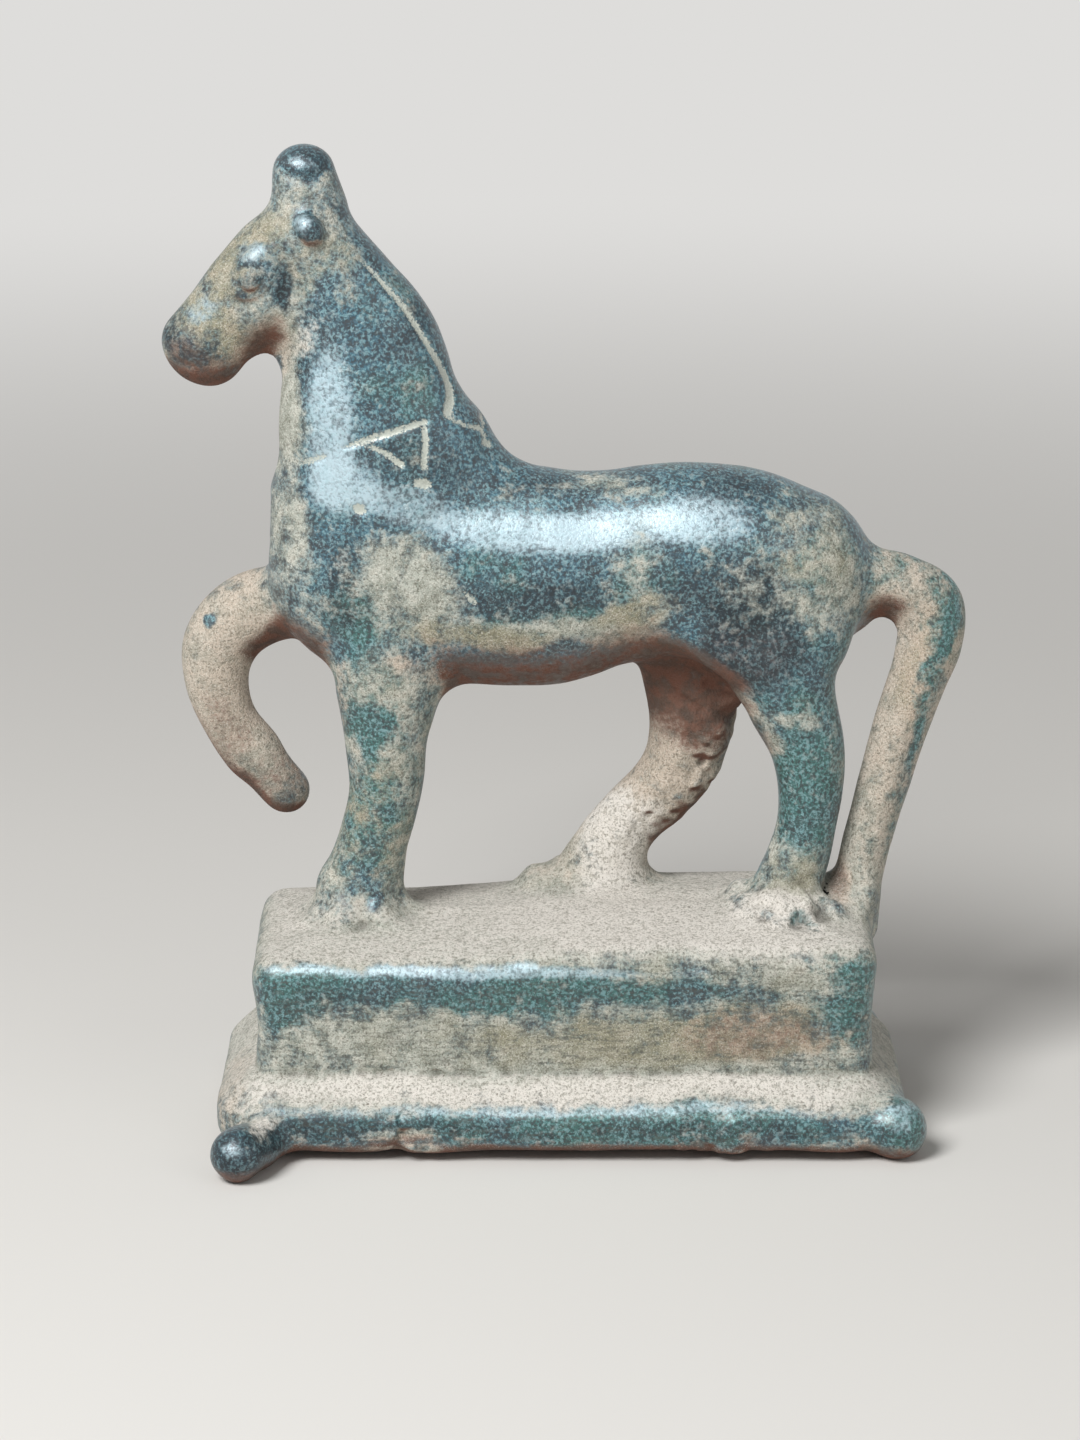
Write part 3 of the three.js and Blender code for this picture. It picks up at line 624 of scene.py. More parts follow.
# Points of each line: x, z and half-width
LINES = (
    (
        (-18.4, 80.6, 0.16), (-16.6, 78.6, 0.28), (-14.5, 76.2, 0.34), (-12.6, 73.2, 0.38),
        (-11.1, 70.5, 0.46), (-10.3, 68.2, 0.56), (-10.5, 66.6, 0.5),
    ),
    ((-10.6, 66.4, 0.32), (-9.2, 65.5, 0.26), (-7.6, 64.8, 0.3), (-7.2, 64.1, 0.36)),
    ((-7.6, 66.4, 0.3), (-7.45, 65.6, 0.28), (-7.3, 64.9, 0.26)),
    ((-7.2, 63.6, 0.42), (-6.8, 63.4, 0.46)),
    ((-23.8, 62.0, 0.22), (-22.1, 62.7, 0.3), (-21.4, 63.0, 0.16)),
    ((-19.9, 63.8, 0.18), (-17.3, 64.7, 0.34), (-14.9, 65.4, 0.36), (-12.6, 66.0, 0.32)),
    ((-18.2, 64.2, 0.16), (-16.4, 63.5, 0.3), (-14.6, 62.3, 0.32)),
    ((-12.6, 65.9, 0.26), (-12.5, 64.1, 0.36), (-12.6, 62.0, 0.34)),
    ((-13.1, 60.6, 0.5), (-12.5, 60.5, 0.52)),
    ((-18.6, 58.3, 0.5), (-18.3, 58.2, 0.5)),
    ((-9.0, 50.7, 0.2), (-8.5, 50.2, 0.28), (-8.1, 49.8, 0.2)),
)


def sample(room, cell, points):
    """The volume's value at points, by its eight neighbours."""
    place = (points - low) / cell
    base = np.clip(np.floor(place).astype(int), 0, np.array(room.shape) - 2)
    t = (place - base).astype(np.float32)
    total = np.zeros(len(points), np.float32)
    for corner in np.ndindex(2, 2, 2):
        share = np.prod([t[:, n] if up else 1 - t[:, n] for n, up in enumerate(corner)], axis=0)
        total += share * room[tuple((base + corner).T)]
    return total


def on_skin(x, z, side):
    """The point of the skin at x and z, met from the near side (-1) or the far one (1), in steps
    of 0.05 mm from outside the horse to its middle plane."""
    deep = np.arange(-12 if side < 0 else 18, MIDDLE, -0.05 * side)
    row = np.stack([deep * 0 + x, deep, deep * 0 + z], -1) + HOME
    hit = np.argmax(sample(casting, FINE, row) < 0)
    return row[hit]


tracks = []
for line in LINES:
    path = spline(line, 6)
    laid = [on_skin(x, z, -1) for x, z, _ in path]
    tracks.append(np.column_stack([laid, path[:, 2]]))


def off_lines(points):
    """How far points lie outside the lines, less than nought within them."""
    gap = np.full(len(points), 9.0)
    for track in tracks:
        for a, b in zip(track, track[1:]):
            step = b[:3] - a[:3]
            t = np.clip((points - a[:3]) @ step / (step @ step), 0, 1)
            away = np.linalg.norm(points - a[:3] - t[:, None] * step, axis=1)
            gap = np.minimum(gap, away - a[3] - (b[3] - a[3]) * t)
    return gap


def nearby(centre, reach):
    """The part of the volume round a point, as slices and as the three offsets from the point."""
    centre = np.array(centre) + HOME
    slices, offsets = [], []
    for axis in range(3):
        start = max(int((centre[axis] - reach - low[axis]) / FINE), 0)
        stop = min(int((centre[axis] + reach - low[axis]) / FINE) + 2, fine_cells[axis])
        slices.append(slice(start, stop))
        offsets.append(low[axis] + np.arange(start, stop) * FINE - centre[axis])
    return tuple(slices), np.meshgrid(*offsets, indexing="ij", sparse=True)


NECK_SIDE = (-15, -1, 68)  # the middle of the field that holds the lines
FIELD = 19  # and its reach, mm
CUT = 0.2  # depth of the lines
CUT_EDGE = 0.25  # how wide their edge is
where, offsets = nearby(NECK_SIDE, FIELD)
block = casting[where]
skin = abs(block) < 0.6
places = np.stack([(block * 0 + offset)[skin] for offset in offsets], -1) + HOME + NECK_SIDE
block[skin] += CUT * np.clip(0.5 - off_lines(places) / CUT_EDGE, 0, 1).astype(np.float32)


# ----------------------------------------------------------------------------
# Corrosion. The ground has eaten the skin: pits, a ring-shaped pit at the far hind pastern, cracks
# at the groin, a coarse crust behind the far hind leg, and a pitted crease over the foot frame. The
# marks of the modeller's tool on the head are cut here too.

def eat(x, z, side, radius, depth, width=0.0):
    """Eats a round pit, or a ring where width is given, out of the skin at x and z of a side."""
    where, (x, y, z) = nearby(on_skin(x, z, side) - HOME, radius + width + 1)
    away = np.sqrt(x * x + y * y + z * z)
    bite = np.exp(-(((away - radius) / width) ** 2)) if width else np.exp(-((away / radius) ** 2))
    casting[where] += (depth * bite).astype(np.float32)


# Pits: x, z, side, radius, depth, and the width of a ring
PITS = (
    (8.2, 26.6, -1, 0.55, 0.5), (27.9, 28.6, -1, 0.45, 0.4), (28.3, 27.6, -1, 0.35, 0.35),
    (27.4, 28.1, -1, 0.3, 0.3), (9.0, 25.6, -1, 0.5, 0.45), (6.6, 25.2, -1, 0.4, 0.35),
    (-14.6, 24.0, -1, 0.5, 0.35), (-17.2, 23.4, -1, 0.7, 0.25), (-27.6, 37.4, -1, 0.5, 0.3),
    (-31.0, 41.4, -1, 0.4, 0.25), (13.6, 36.4, -1, 0.6, 0.5), (12.8, 33.2, -1, 0.5, 0.45),
    (23.7, 21.4, -1, 0.9, 0.4), (23.6, 20.6, -1, 0.8, 0.3), (-6.0, 57.0, 1, 0.6, 0.3),
    (9.0, 53.0, 1, 0.5, 0.3), (-15.0, 63.0, 1, 0.6, 0.3), (21.0, 47.0, 1, 0.7, 0.3),
    (6.9, 27.8, -1, 0.95, 0.4, 0.3),
)
BEHIND_CHEEK = (
    (-24.9, 80.6, 0.25), (-24.6, 79.6, 0.4), (-24.6, 78.6, 0.45), (-24.9, 77.6, 0.4),
    (-25.4, 76.8, 0.25),
)
MOUTH = ((-35.3, 71.6), (-34.8, 71.2), (-34.3, 70.9), (-33.7, 70.7))
UNDER_CAP = (
    (-24.8, 87.9), (-24.2, 87.6), (-23.5, 87.4), (-22.7, 87.4), (-22.0, 87.7), (-21.2, 88.2),
)
GROIN = (
    (9.2, 40.6), (9.6, 40.0), (10.1, 39.7), (10.6, 39.0), (11.2, 38.8), (11.8, 38.3), (12.5, 37.8),
    (13.2, 40.6), (13.8, 40.1), (14.4, 39.5), (15.0, 39.3), (15.6, 38.5),
)
for pit in PITS:
    eat(*pit)
for side in (-1, 1):
    eat(*EYE, side, 1.25, 0.3, 0.28)  # a ring round the eye
    for x, z, depth in BEHIND_CHEEK:
        eat(x, z, side, 0.75, depth)
    for turn in np.linspace(0, 2 * np.pi, 24, endpoint=False):  # the rim of the cheek plate
        u, v = 3.2 * np.cos(turn), 2.1 * np.sin(turn)
        eat(CHEEK[0] + 0.53 * u - 0.85 * v, CHEEK[1] + 0.85 * u + 0.53 * v, side, 0.45, 0.22)
    for x, z in MOUTH:
        eat(x, z, side, 0.35, 0.1)
    for x, z in UNDER_CAP:  # the crease under the topknot's cap
        eat(x, z, side, 0.5, 0.22)
for x, z in GROIN:
    eat(x, z, -1, 0.42, 0.42)

# Crust: x, y, z, reach, height
CRUST = (
    (14.0, 4.2, 36.0, 2.8, 0.3), (12.8, 4.2, 31.5, 2.4, 0.28), (9.5, 4.5, 28.0, 2.0, 0.2),
    (6.3, 3.6, 26.6, 2.2, 0.25), (20.3, -4.2, 20.5, 3.5, 0.52), (25.6, 0, 20.0, 2.4, 0.25),
    (-19, -3, 21.5, 3.5, 0.16), (15, 8, 44, 5.0, 0.2), (-14.7, -14.6, 2.6, 2.4, 0.4),
    (-28, -14.5, 3.5, 2.6, 0.25), (14, -14.6, 1.6, 4.0, 0.2),
)
grit = cloud(0.55, 21)
for *centre, reach, amount in CRUST:
    where, (x, y, z) = nearby(centre, 1.6 * reach)
    fade = np.exp(-(x * x + y * y + z * z) / reach**2)
    casting[where] += (amount * fade * (grit[where] + 0.9 * waves[where])).astype(np.float32)

# Streaks that a thumb or a scraper left in the wax at the throat
where, (x, y, z) = nearby((-21.5, -1, 77.5), 7)
ripple = np.sin((0.86 * x + 0.5 * z + 0.05 * z * z) * 2 * np.pi / 0.95 + 3 * grit[where])
fade = np.exp(-((x / 2.6) ** 2) - (z / 4.2) ** 2) * (y < 2)
casting[where] += (0.1 * ripple * fade).astype(np.float32)

# The crease between plinth and foot frame, eaten unevenly, and the frame's wavy lower edge
across = low[1] + np.arange(fine_cells[1]) * FINE - HOME[1]
along = low[0] + np.arange(fine_cells[0]) * FINE - HOME[0] + PLINTH_SHIFT
edge_x = HALF_LENGTH - OVERHANG - abs(along)
edge_y = HALF_WIDTH - OVERHANG - abs(across)
outside = np.maximum(-edge_x[:, None], -edge_y[None, :])[:, :, None]
band = np.exp(-((height - FRAME_TOP - 0.05) / 0.3) ** 2)[None, None, :]
band = band * np.exp(-((outside - 0.1) / 0.45) ** 2)
casting += (band * np.clip(0.16 + 0.3 * grit, 0, 0.6)).astype(np.float32)
band = np.exp(-((height - GROUND_GAP) / 0.9) ** 2)[None, None, :] * (outside > 0)
casting += (band * np.clip(0.04 + 0.26 * cloud(2.6, 22), -0.15, 0.5)).astype(np.float32)
del grit, waves, band, outside


# ----------------------------------------------------------------------------
# Skin. The surface of the casting, with what the finish needs to know about each of its points:
# which member it belongs to, how hollow it lies, and whether it is inside the plinth.

points, quads = skin_of(casting, FINE)


def slope(points):
    """Which way the volume rises fastest, which is outwards from the skin."""
    rise = np.empty((len(points), 3), np.float32)
    for axis, step in enumerate(0.2 * np.eye(3)):
        ahead, behind = sample(casting, FINE, points + step), sample(casting, FINE, points - step)
        rise[:, axis] = ahead - behind
    return rise / np.maximum(np.linalg.norm(rise, axis=1, keepdims=True), 1e-6)


points = points - slope(points) * sample(casting, FINE, points)[:, None]
limit_low, limit_high = np.array(cad_box) / MM  # the skin stays inside the CAD's box
points = np.clip(points, limit_low + 0.002, limit_high - 0.002).astype(np.float32)
outwards = slope(points)
a, b, c, d = (points[quads[:, k]] for k in range(4))
if (np.cross(b - a, c - a) * a).sum() + (np.cross(c - a, d - a) * a).sum() < 0:
    quads = quads[:, ::-1].copy()

names = list(coarse_volume)
depth = np.stack([sample(coarse_volume[n], COARSE, points) for n in names])
nearest = np.exp(-np.clip(depth - depth.min(0), 0, 20) / 0.8)
nearest /= nearest.sum(0)

soft = blurred(np.clip(casting, -1.2, 1.2), 0.9)
hollowness = np.clip(-sample(soft, FINE, points) / 0.25, -1.5, 1.5)
del soft
inside = np.clip(1 - sample(hollow, FINE, points) / 0.8, 0, 1) * (points[:, 2] < ROOF + 1)
broad_waves = sample(cloud(7.0, 31), FINE, points)
short_waves = sample(cloud(4.5, 32), FINE, points)
wobble = np.stack([
    sample(cloud(3.2, k), FINE, points) + 0.5 * sample(cloud(1.2, k + 3), FINE, points)
    for k in (41, 42, 43)
], -1)
line = np.full(len(points), 1.0, np.float32)
close = np.flatnonzero(np.linalg.norm(points - HOME - NECK_SIDE, axis=1) < FIELD + 1)
line[close] = np.clip(off_lines(points[close]), -1, 1)

# A face belongs to the nearest member. The small pellets get a lead, so that they keep their
# rims, and the ball feet the reverse, and they take nothing in the hollow.
LEAD = {"left_eye": 0.35, "right_eye": 0.35, "left_ear": 0.1, "right_ear": 0.1}
LEAD.update(dict.fromkeys(FEET, -0.4))
corners = points[quads].mean(1)
in_hollow = 4 * np.clip(1.2 - sample(hollow, FINE, corners), 0, 1)
claims = [sample(coarse_volume[n], COARSE, corners) - LEAD.get(n, 0) for n in names]
owner = np.argmin([c + in_hollow if n in FEET else c for n, c in zip(names, claims)], 0)


# ----------------------------------------------------------------------------
# Patina and earth. Bronze with a blue-green patina and dull earth that stays in the hollows and on
# the sheltered members, with a painted highlight where the key lamp's highlights fall, painted
# shade in the hollows and painted reddish-brown shade on the undersides. Amounts are stored on the
# skin.

# How much a member has all over of the kinds in PATCHES, in their order, without the last noughts
COVER = {
    "trunk": (-0.45, 0.2, 0.2), "neck": (-0.55, 0.15, 0.25), "head": (0.5, 0.3, 0.2, 0.05, 0.4),
    "topknot": (0.25, 0, 0.1, 0.05, 0.1, 0.1), "left_ear": (-0.4, 0, 0.5),
    "right_ear": (-0.4, 0, 0.5), "left_eye": (0.55, 0.3, 0, 0, 0.2, 0.3),
    "right_eye": (0.55, 0.3, 0, 0, 0.2, 0.3), "left_foreleg": (0.5, 0.65, 0.15, 0.05, 0.2),
    "right_foreleg": (1.15, 0.4, 0, 0.25, 0.05), "left_hind_leg": (-0.3, 0.55, 0.2),
    "right_hind_leg": (1.15, 0.3, 0, 0.25, 0.05), "tail": (0.9, 0.9, 0, 0.2, 0.15),
    "plinth": (0.5, 0.5, 0.1, 0, 0.25, 0.05), "foot_frame": (0.6, 0.3, 0.1, 0, 0, 0.15),
    "foot_near_left": (-0.4, 0.1, 0.6, 0.1), "foot_near_right": (-0.1, 0.6, 0.3),
    "foot_far_left": (-0.2, 0.4, 0.3), "foot_far_right": (-0.2, 0.4, 0.3),
    "solder_left_fore": (0.9, 0.1, 0, 0.1, 0, 0.1), "solder_left_hind": (0.55, 0.4, 0, 0, 0, 0.6),
    "solder_right_hind": (1, 0, 0, 0.2, 0, 0.15), "solder_tail": (0.9, 0.1, 0, 0.1, 0, 0.2),
}
# Patches: middle x, y, z, half-sizes along x and z and the amount, then the tilt in degrees where
# it isn't 0, and the half-size along y where it isn't 3
PATCHES = {
    "earth": (
        (-25.7, 0.5, 60, 2, 11.5, 1.2, 0, 4), (-24.7, 0.3, 69, 1.4, 5, 0.8, 0, 4),
        (-30, 0.8, 79.8, 6.5, 1, 0.3, -48), (-23, -1, 75, 2.2, 2.4, 0.6),
        (-14.3, -4, 51.8, 3.6, 3.4, 0.95), (-17.2, -4, 53.4, 2.2, 2, 0.55),
        (-11, -4, 50, 2.4, 2.2, 0.5), (22.8, -2.5, 53.6, 3.6, 6, 0.8, -15, 4),
        (15.8, -4, 52, 1.8, 2.2, 0.45), (25, -1, 54, 1.6, 4, 0.5, 0, 4),
        (3.3, 0, 60, 4.5, 1.3, 0.6, 0, 4), (6.4, -4, 53.8, 2.6, 2.8, 0.6),
        (-4, -3.5, 46.4, 8.5, 1.5, 1.15, 3), (6.8, -3.5, 48.6, 4, 1.5, 1.1, -25),
        (-29, 7, 40, 6, 9, 0.35, 0, 4), (-23, -1, 46.8, 2, 2.8, 0.5),
        (-20.3, -3, 45.5, 2.3, 2.8, -0.8), (-17.4, -3, 37.6, 2.3, 2.2, -0.95),
        (-17.4, -3, 30.5, 2.6, 4, -0.4), (-18.6, -3, 24, 2, 2, -0.4),
        (-17.6, -3, 21, 0.6, 0.6, -0.8, 0, 2), (-27.6, -0.5, 79.8, 2.2, 2.6, -0.35, 0, 2.5),
        (-25, -0.5, 78.2, 0.8, 2, -1, 0, 2), (-34, 0, 72.8, 2.6, 2.6, -0.5),
        (-22.7, -1, 78, 1.6, 2.6, -0.3), (-20.5, -1, 80.7, 3, 3, 0.5, 0, 4),
        (-23, 1.5, 89.6, 2.3, 1.3, -1.3, 0, 5), (-22.8, -1, 83.8, 1.1, 1.2, -1, 0, 2),
        (-33.1, 3.5, 46.4, 0.6, 0.8, -1.6, 0, 2), (34.2, 1, 48, 1.8, 4.5, -0.9, 10, 5),
        (31.5, 1, 51.8, 2.5, 1, -0.3, 0, 4), (33.6, 0, 41, 0.9, 7, -0.85, 14),
        (31.6, 0, 32, 0.8, 6, -0.4, 10), (12.6, -3, 43.3, 0.8, 5.5, 0.9, -51),
        (17.4, -3, 38.6, 0.7, 4, 0.7, -28, 2.5), (18.9, -3, 31, 0.7, 5.5, 0.7, 0, 2.5),
        (18.5, -4, 44.5, 3, 4, -0.4), (21.5, -3, 38.2, 2.6, 0.9, 0.7),
        (21.9, -3.5, 33.6, 1.8, 4, -0.3), (20.8, -3, 24.4, 3.2, 2.9, 0.95),
        (22, -4.5, 20.4, 1.3, 1.2, -0.9, 0, 4), (29.6, 0, 36, 1.7, 13, 0.45, 14, 4),
        (-7.7, -11.5, 15.6, 21, 1.5, -1.15), (-24.5, -11.5, 14.2, 2.6, 2.6, -0.8),
        (26, -11.5, 14.3, 2.2, 4.6, -0.8), (17.6, -11.5, 17.2, 4.5, 1.2, 0.6),
        (0, -11.5, 10.2, 26, 2.2, 0.6), (-0.4, -14.6, 3.5, 31, 1.7, -1.2),
        (-14.7, -14.6, 2.4, 2.7, 0.8, 1.2), (-28.2, -16.4, 4.2, 2.2, 0.9, 1.2),
        (30.5, -12, 3.2, 2.3, 2.7, -0.6, 0, 4),
    ),
    "verdigris": (
        (-24.2, -11.5, 14, 2.6, 2.4, 1), (25.8, -11.5, 14.8, 2.3, 4.6, 0.8),
        (-19.4, -4, 47.9, 2.9, 3.3, 0.6), (-5.8, -4, 52.5, 2.9, 2.6, 0.4),
        (-17.4, -3, 37.6, 2.5, 2.5, 0.9), (-17.5, -3, 30, 3, 5, 0.4),
        (-7, -11.5, 15.4, 21, 1.6, 0.3), (-2, -14.6, 3.5, 30, 1.7, 0.35),
        (7.6, -4, 52.5, 2.7, 2.4, 0.5), (-0.4, -3, 47.5, 8, 1.6, 0.5),
        (24.3, -3, 53.6, 3.1, 3.1, 0.8), (22.4, -3.5, 32.2, 2.6, 6.5, 0.7),
        (33.8, 1, 48.9, 2.7, 4.3, 0.65, 0, 5), (33, 0, 38, 2, 8, 0.6, 14),
        (31, -12, 3.2, 2.3, 2.7, 0.6, 0, 4), (22, -4.5, 20.4, 1.5, 1.4, 0.9, 0, 4),
        (-14.2, -2, 79.8, 2.3, 3, 0.4), (6.8, -14.6, 3.7, 10.9, 1.7, 0.5),
        (-13, -3, 69, 3, 4, 0.5),
    ),
    "ink": (
        (-24.9, -0.5, 78, 0.8, 2.1, 1, 0, 2), (-23, 1.5, 89.4, 2.1, 1.2, 0.7, 0, 5),
        (-22.5, -1, 83.6, 1.2, 1.2, 0.35, 0, 2), (-12, -1, 77, 2, 5, 0.5, 25),
        (-12.5, -3.5, 63.4, 4.5, 2.4, 0.4), (-6.7, -4, 61, 3.9, 2.4, 0.4),
        (-20.5, -3.5, 51, 2, 3.5, 0.5), (-3, -4, 50, 7, 1.8, 0.6), (13.9, -4, 51.5, 4.5, 3, 0.5),
        (17.5, -3.5, 46.5, 3.6, 4.6, 1.2), (-11.3, -11.5, 15.2, 15, 1.1, 0.2),
        (25.4, -11.5, 10.5, 1.3, 2.7, 0.4), (-18.5, -14.6, 3.4, 12.7, 1.2, 0.6),
        (12, -14.6, 3, 14, 0.9, 0.5), (-29.3, -18, 1.6, 3, 2.3, 1.7, 0, 4),
        (-34.2, 0, 72.8, 3.2, 2.6, 0.8, 0, 4), (-28.9, 0, 78.9, 1.3, 2.6, 0.5, 30),
        (-1, -1, 60.5, 5, 1.2, 0.5), (16, -2, 59.5, 4, 1.8, 0.5, -15),
    ),
    "rust": (
        (17.5, -11.5, 11.5, 6, 2.4, 0.25), (-4, -1, 43.2, 10, 1.5, 0.85, 0, 5),
        (-20.5, -1, 38, 0.7, 5.7, 0.25, 0, 2), (-24.2, 2, 44.9, 2, 1.3, 0.6, 0, 4),
        (25.9, -1, 22.8, 0.9, 2.3, 0.7), (-29.2, 1, 71.1, 5.4, 1.6, 0.35, -25, 4),
        (11.5, 4, 42.5, 4, 3, 0.8, 0, 4), (0, -14.4, 1.5, 31, 0.7, 0.9),
        (-30, -8, 5, 2, 3, 0.3, 0, 6), (-29, 7, 42, 5, 8, 0.2, 0, 4), (30.5, 1, 40, 4, 12, 0.15),
        (8, 5, 32, 6, 8, 0.2, 0, 4),
    ),
    "olive": (
        (-8, -3.5, 46.2, 7, 1.6, 0.9, 3), (6.8, -3.5, 49, 4.2, 1.4, 0.9, -25),
        (-31, -0.5, 73.2, 3, 2.2, 0.7), (6.8, -11.5, 10.9, 15.4, 2.1, 0.6),
        (18, -11.5, 11.9, 5.5, 2.1, 1.2), (22.7, -3, 55, 4, 5, 0.5, -20, 3.5),
        (-20.9, -1, 80.1, 3, 3.1, 0.4), (-17.5, -3, 28, 3, 6, 0.7), (-27.8, -0.5, 41, 2, 4, 0.6),
        (-27, 0, 35, 3, 2.5, 0.4, -40, 4), (33.4, 0, 44, 2, 6, 0.7, 14, 4),
        (20.5, -3, 24, 3, 3, 0.6), (-29.5, 0.8, 79.5, 6, 2, 0.5, -48),
    ),
    "chalk": (
        (19.6, -4, 20.8, 3.4, 1.6, 0.8, 0, 4), (17.7, -9, 19.2, 5.4, 2.1, 0.3, 0, 5),
        (-0.4, -6, 20.6, 15.5, 1.5, 0.2, 0, 6), (-0.4, -13, 6.5, 29.9, 1, 0.35),
        (-28.2, -16.4, 4.2, 2.2, 0.9, 0.8), (-22.6, -2, 73.6, 2, 2, 0.6),
        (5, 4, 25.5, 4, 4, 0.8, 0, 5), (-22, -2, 20.6, 6, 1.5, 0.3, 0, 6),
        (-19.5, -2, 83.6, 1.5, 1.5, 0.5),
    ),
    # Painted highlight: pale blue patches where the key lamp's highlights fall on the neck, barrel,
    # head, deck edge, frame nose and ball feet
    "painted_highlight": (
        (-21.2, -2.6, 66.5, 2.2, 6.5, 0.9), (-20, -3, 60.5, 3, 2.5, 0.8),
        (-14, -3.4, 58.5, 4, 1.8, 0.7, 15), (-4, -3.4, 56.2, 7, 1.7, 0.9, 3),
        (5, -3.4, 56.4, 6, 1.6, 0.8, -4), (12.5, -3.4, 57.4, 4.5, 2, 0.75, 8),
        (-32.4, 0.3, 76, 1.5, 1.1, 0.9, -35), (-28.3, -0.5, 81.6, 1.6, 1, 0.6, -40, 2),
        (-23.6, 1, 89, 1.2, 0.6, 0.4), (-23.3, -1, 84, 0.8, 0.8, 0.8, 0, 2),
        (-27.2, -0.5, 80.6, 1.2, 1.2, 0.3, 0, 2), (-8, -11, 17.3, 19, 0.5, 0.9),
        (0, -14.4, 5.1, 28, 0.4, 0.7), (-29.8, -19, 3.4, 0.9, 0.7, 0.5),
        (30.3, -14, 4.3, 1.2, 1, 0.5),
    ),
    # Mostly painted shade in dark reddish brown, on the far hind leg, the raised foreleg, the
    # muzzle and the groin, with a brown stain on the plinth's front
    "under": (
        (11.5, 5, 42.8, 5, 6.5, 1.1, 0, 4), (-26.8, 6, 30, 3, 2.6, 0.35, 0, 4),
        (-30.8, 6, 35.5, 1.5, 4, 0.3, -25, 4), (-24.5, 4, 46, 2.6, 2.4, 0.3, 0, 4),
        (13.5, 4, 37.5, 1.6, 4, 0.35, 0, 4), (17.5, -11.5, 11.5, 6, 2.2, 0.3),
        (-33.2, 0, 71, 3.4, 2.2, 0.4, 0, 4), (17, -3, 44.5, 4, 4, 0.2),
    ),
}
spot = points - HOME


def patch(ripple, x, y, z, wide, tall, amount, tilt=0, deep=3):
    """How much of a soft-edged patch each point of the skin has."""
    c, s = np.cos(np.radians(tilt)), np.sin(np.radians(tilt))
    dx, dz = spot[:, 0] - x + ripple[:, 0], spot[:, 2] - z + ripple[:, 2]
    u, v = (dx * c - dz * s) / wide, (dx * s + dz * c) / tall
    away = np.sqrt(u * u + v * v + ((spot[:, 1] - y + ripple[:, 1]) / deep) ** 2)
    near = np.clip(1.6 - away, 0, 1)
    return amount * near**2 * (3 - 2 * near)


finish = {}
for k, kind in enumerate(PATCHES):
    ripple = wobble * (0.25 if kind == "painted_highlight" else 0.8)
    all_over = np.array([COVER[n][k] if k < len(COVER[n]) else 0 for n in names])
    finish[kind] = (nearest * all_over[:, None]).sum(0)
    for row in PATCHES[kind]:
        finish[kind] += patch(ripple, *row)

# Earth lies in hollows, on the deck and under the belly, and gives way where the highlight is
# painted
part = dict(zip(names, nearest))
stand = part["plinth"] + part["foot_frame"]
up = np.clip(outwards[:, 2], 0, 1) ** 2 * (1 - inside)
down = np.clip((-outwards[:, 2] - 0.28) / 0.5, 0, 1)
far = np.clip((spot[:, 1] - 4.5) / 3, 0, 1) * np.clip((spot[:, 2] - 20) / 4, 0, 1)
finish["earth"] += (
    0.3 * hollowness - 0.35 * finish["painted_highlight"] + 0.9 * down + inside
    + far * (1.1 * broad_waves - 0.1) + 1.1 * up * stand
)
finish["verdigris"] += far * 0.5 * short_waves
# Reddish on down-facing skin and inside the plinth, partly a cuprite stain and partly painted shade
finish["rust"] += 0.9 * down * (1 - inside) + 0.5 * inside
finish["chalk"] += 0.6 * up * stand
# Painted shade in dark reddish brown on down-facing skin, less on the stand and none on the small
# pellets, and inside the plinth
pellets = part["left_ear"] + part["right_ear"] + part["left_eye"] + part["right_eye"]
finish["under"] += down * (1 - 0.4 * stand) * (1 - pellets) + 0.35 * inside
finish["brushed"] = stand * (1 - abs(outwards[:, 2]))
# How hollow each point lies, which also sets the painted shade in the hollows
finish["hollow"] = hollowness
finish["line"] = line


class Value:
    """A socket that carries a number, so that shader maths reads as maths."""

    def __init__(self, tree, socket):
        self.tree, self.socket = tree, socket

    def maths(self, operation, *others):
        node = self.tree.nodes.new("ShaderNodeMath")
        node.operation = operation
        for slot, value in zip(node.inputs, others):
            feed(self.tree, slot, value)
        return Value(self.tree, node.outputs[0])

    def __add__(self, other):
        return self.maths("ADD", self, other)

    def __mul__(self, other):
        return self.maths("MULTIPLY", self, other)

    def __sub__(self, other):
        return self.maths("SUBTRACT", self, other)

    def __rsub__(self, other):
        return self.maths("SUBTRACT", other, self)

    def __abs__(self):
        return self.maths("ABSOLUTE", self)

    __radd__, __rmul__ = __add__, __mul__

    def between(self, start, end):
        """0 up to start, 1 from end on, with soft ends."""
        soft = {"interpolation_type": "SMOOTHSTEP"}
        node = wired(self.tree, "ShaderNodeMapRange", soft, Value=self, FromMin=start, FromMax=end)
        return Value(self.tree, node.outputs[0])


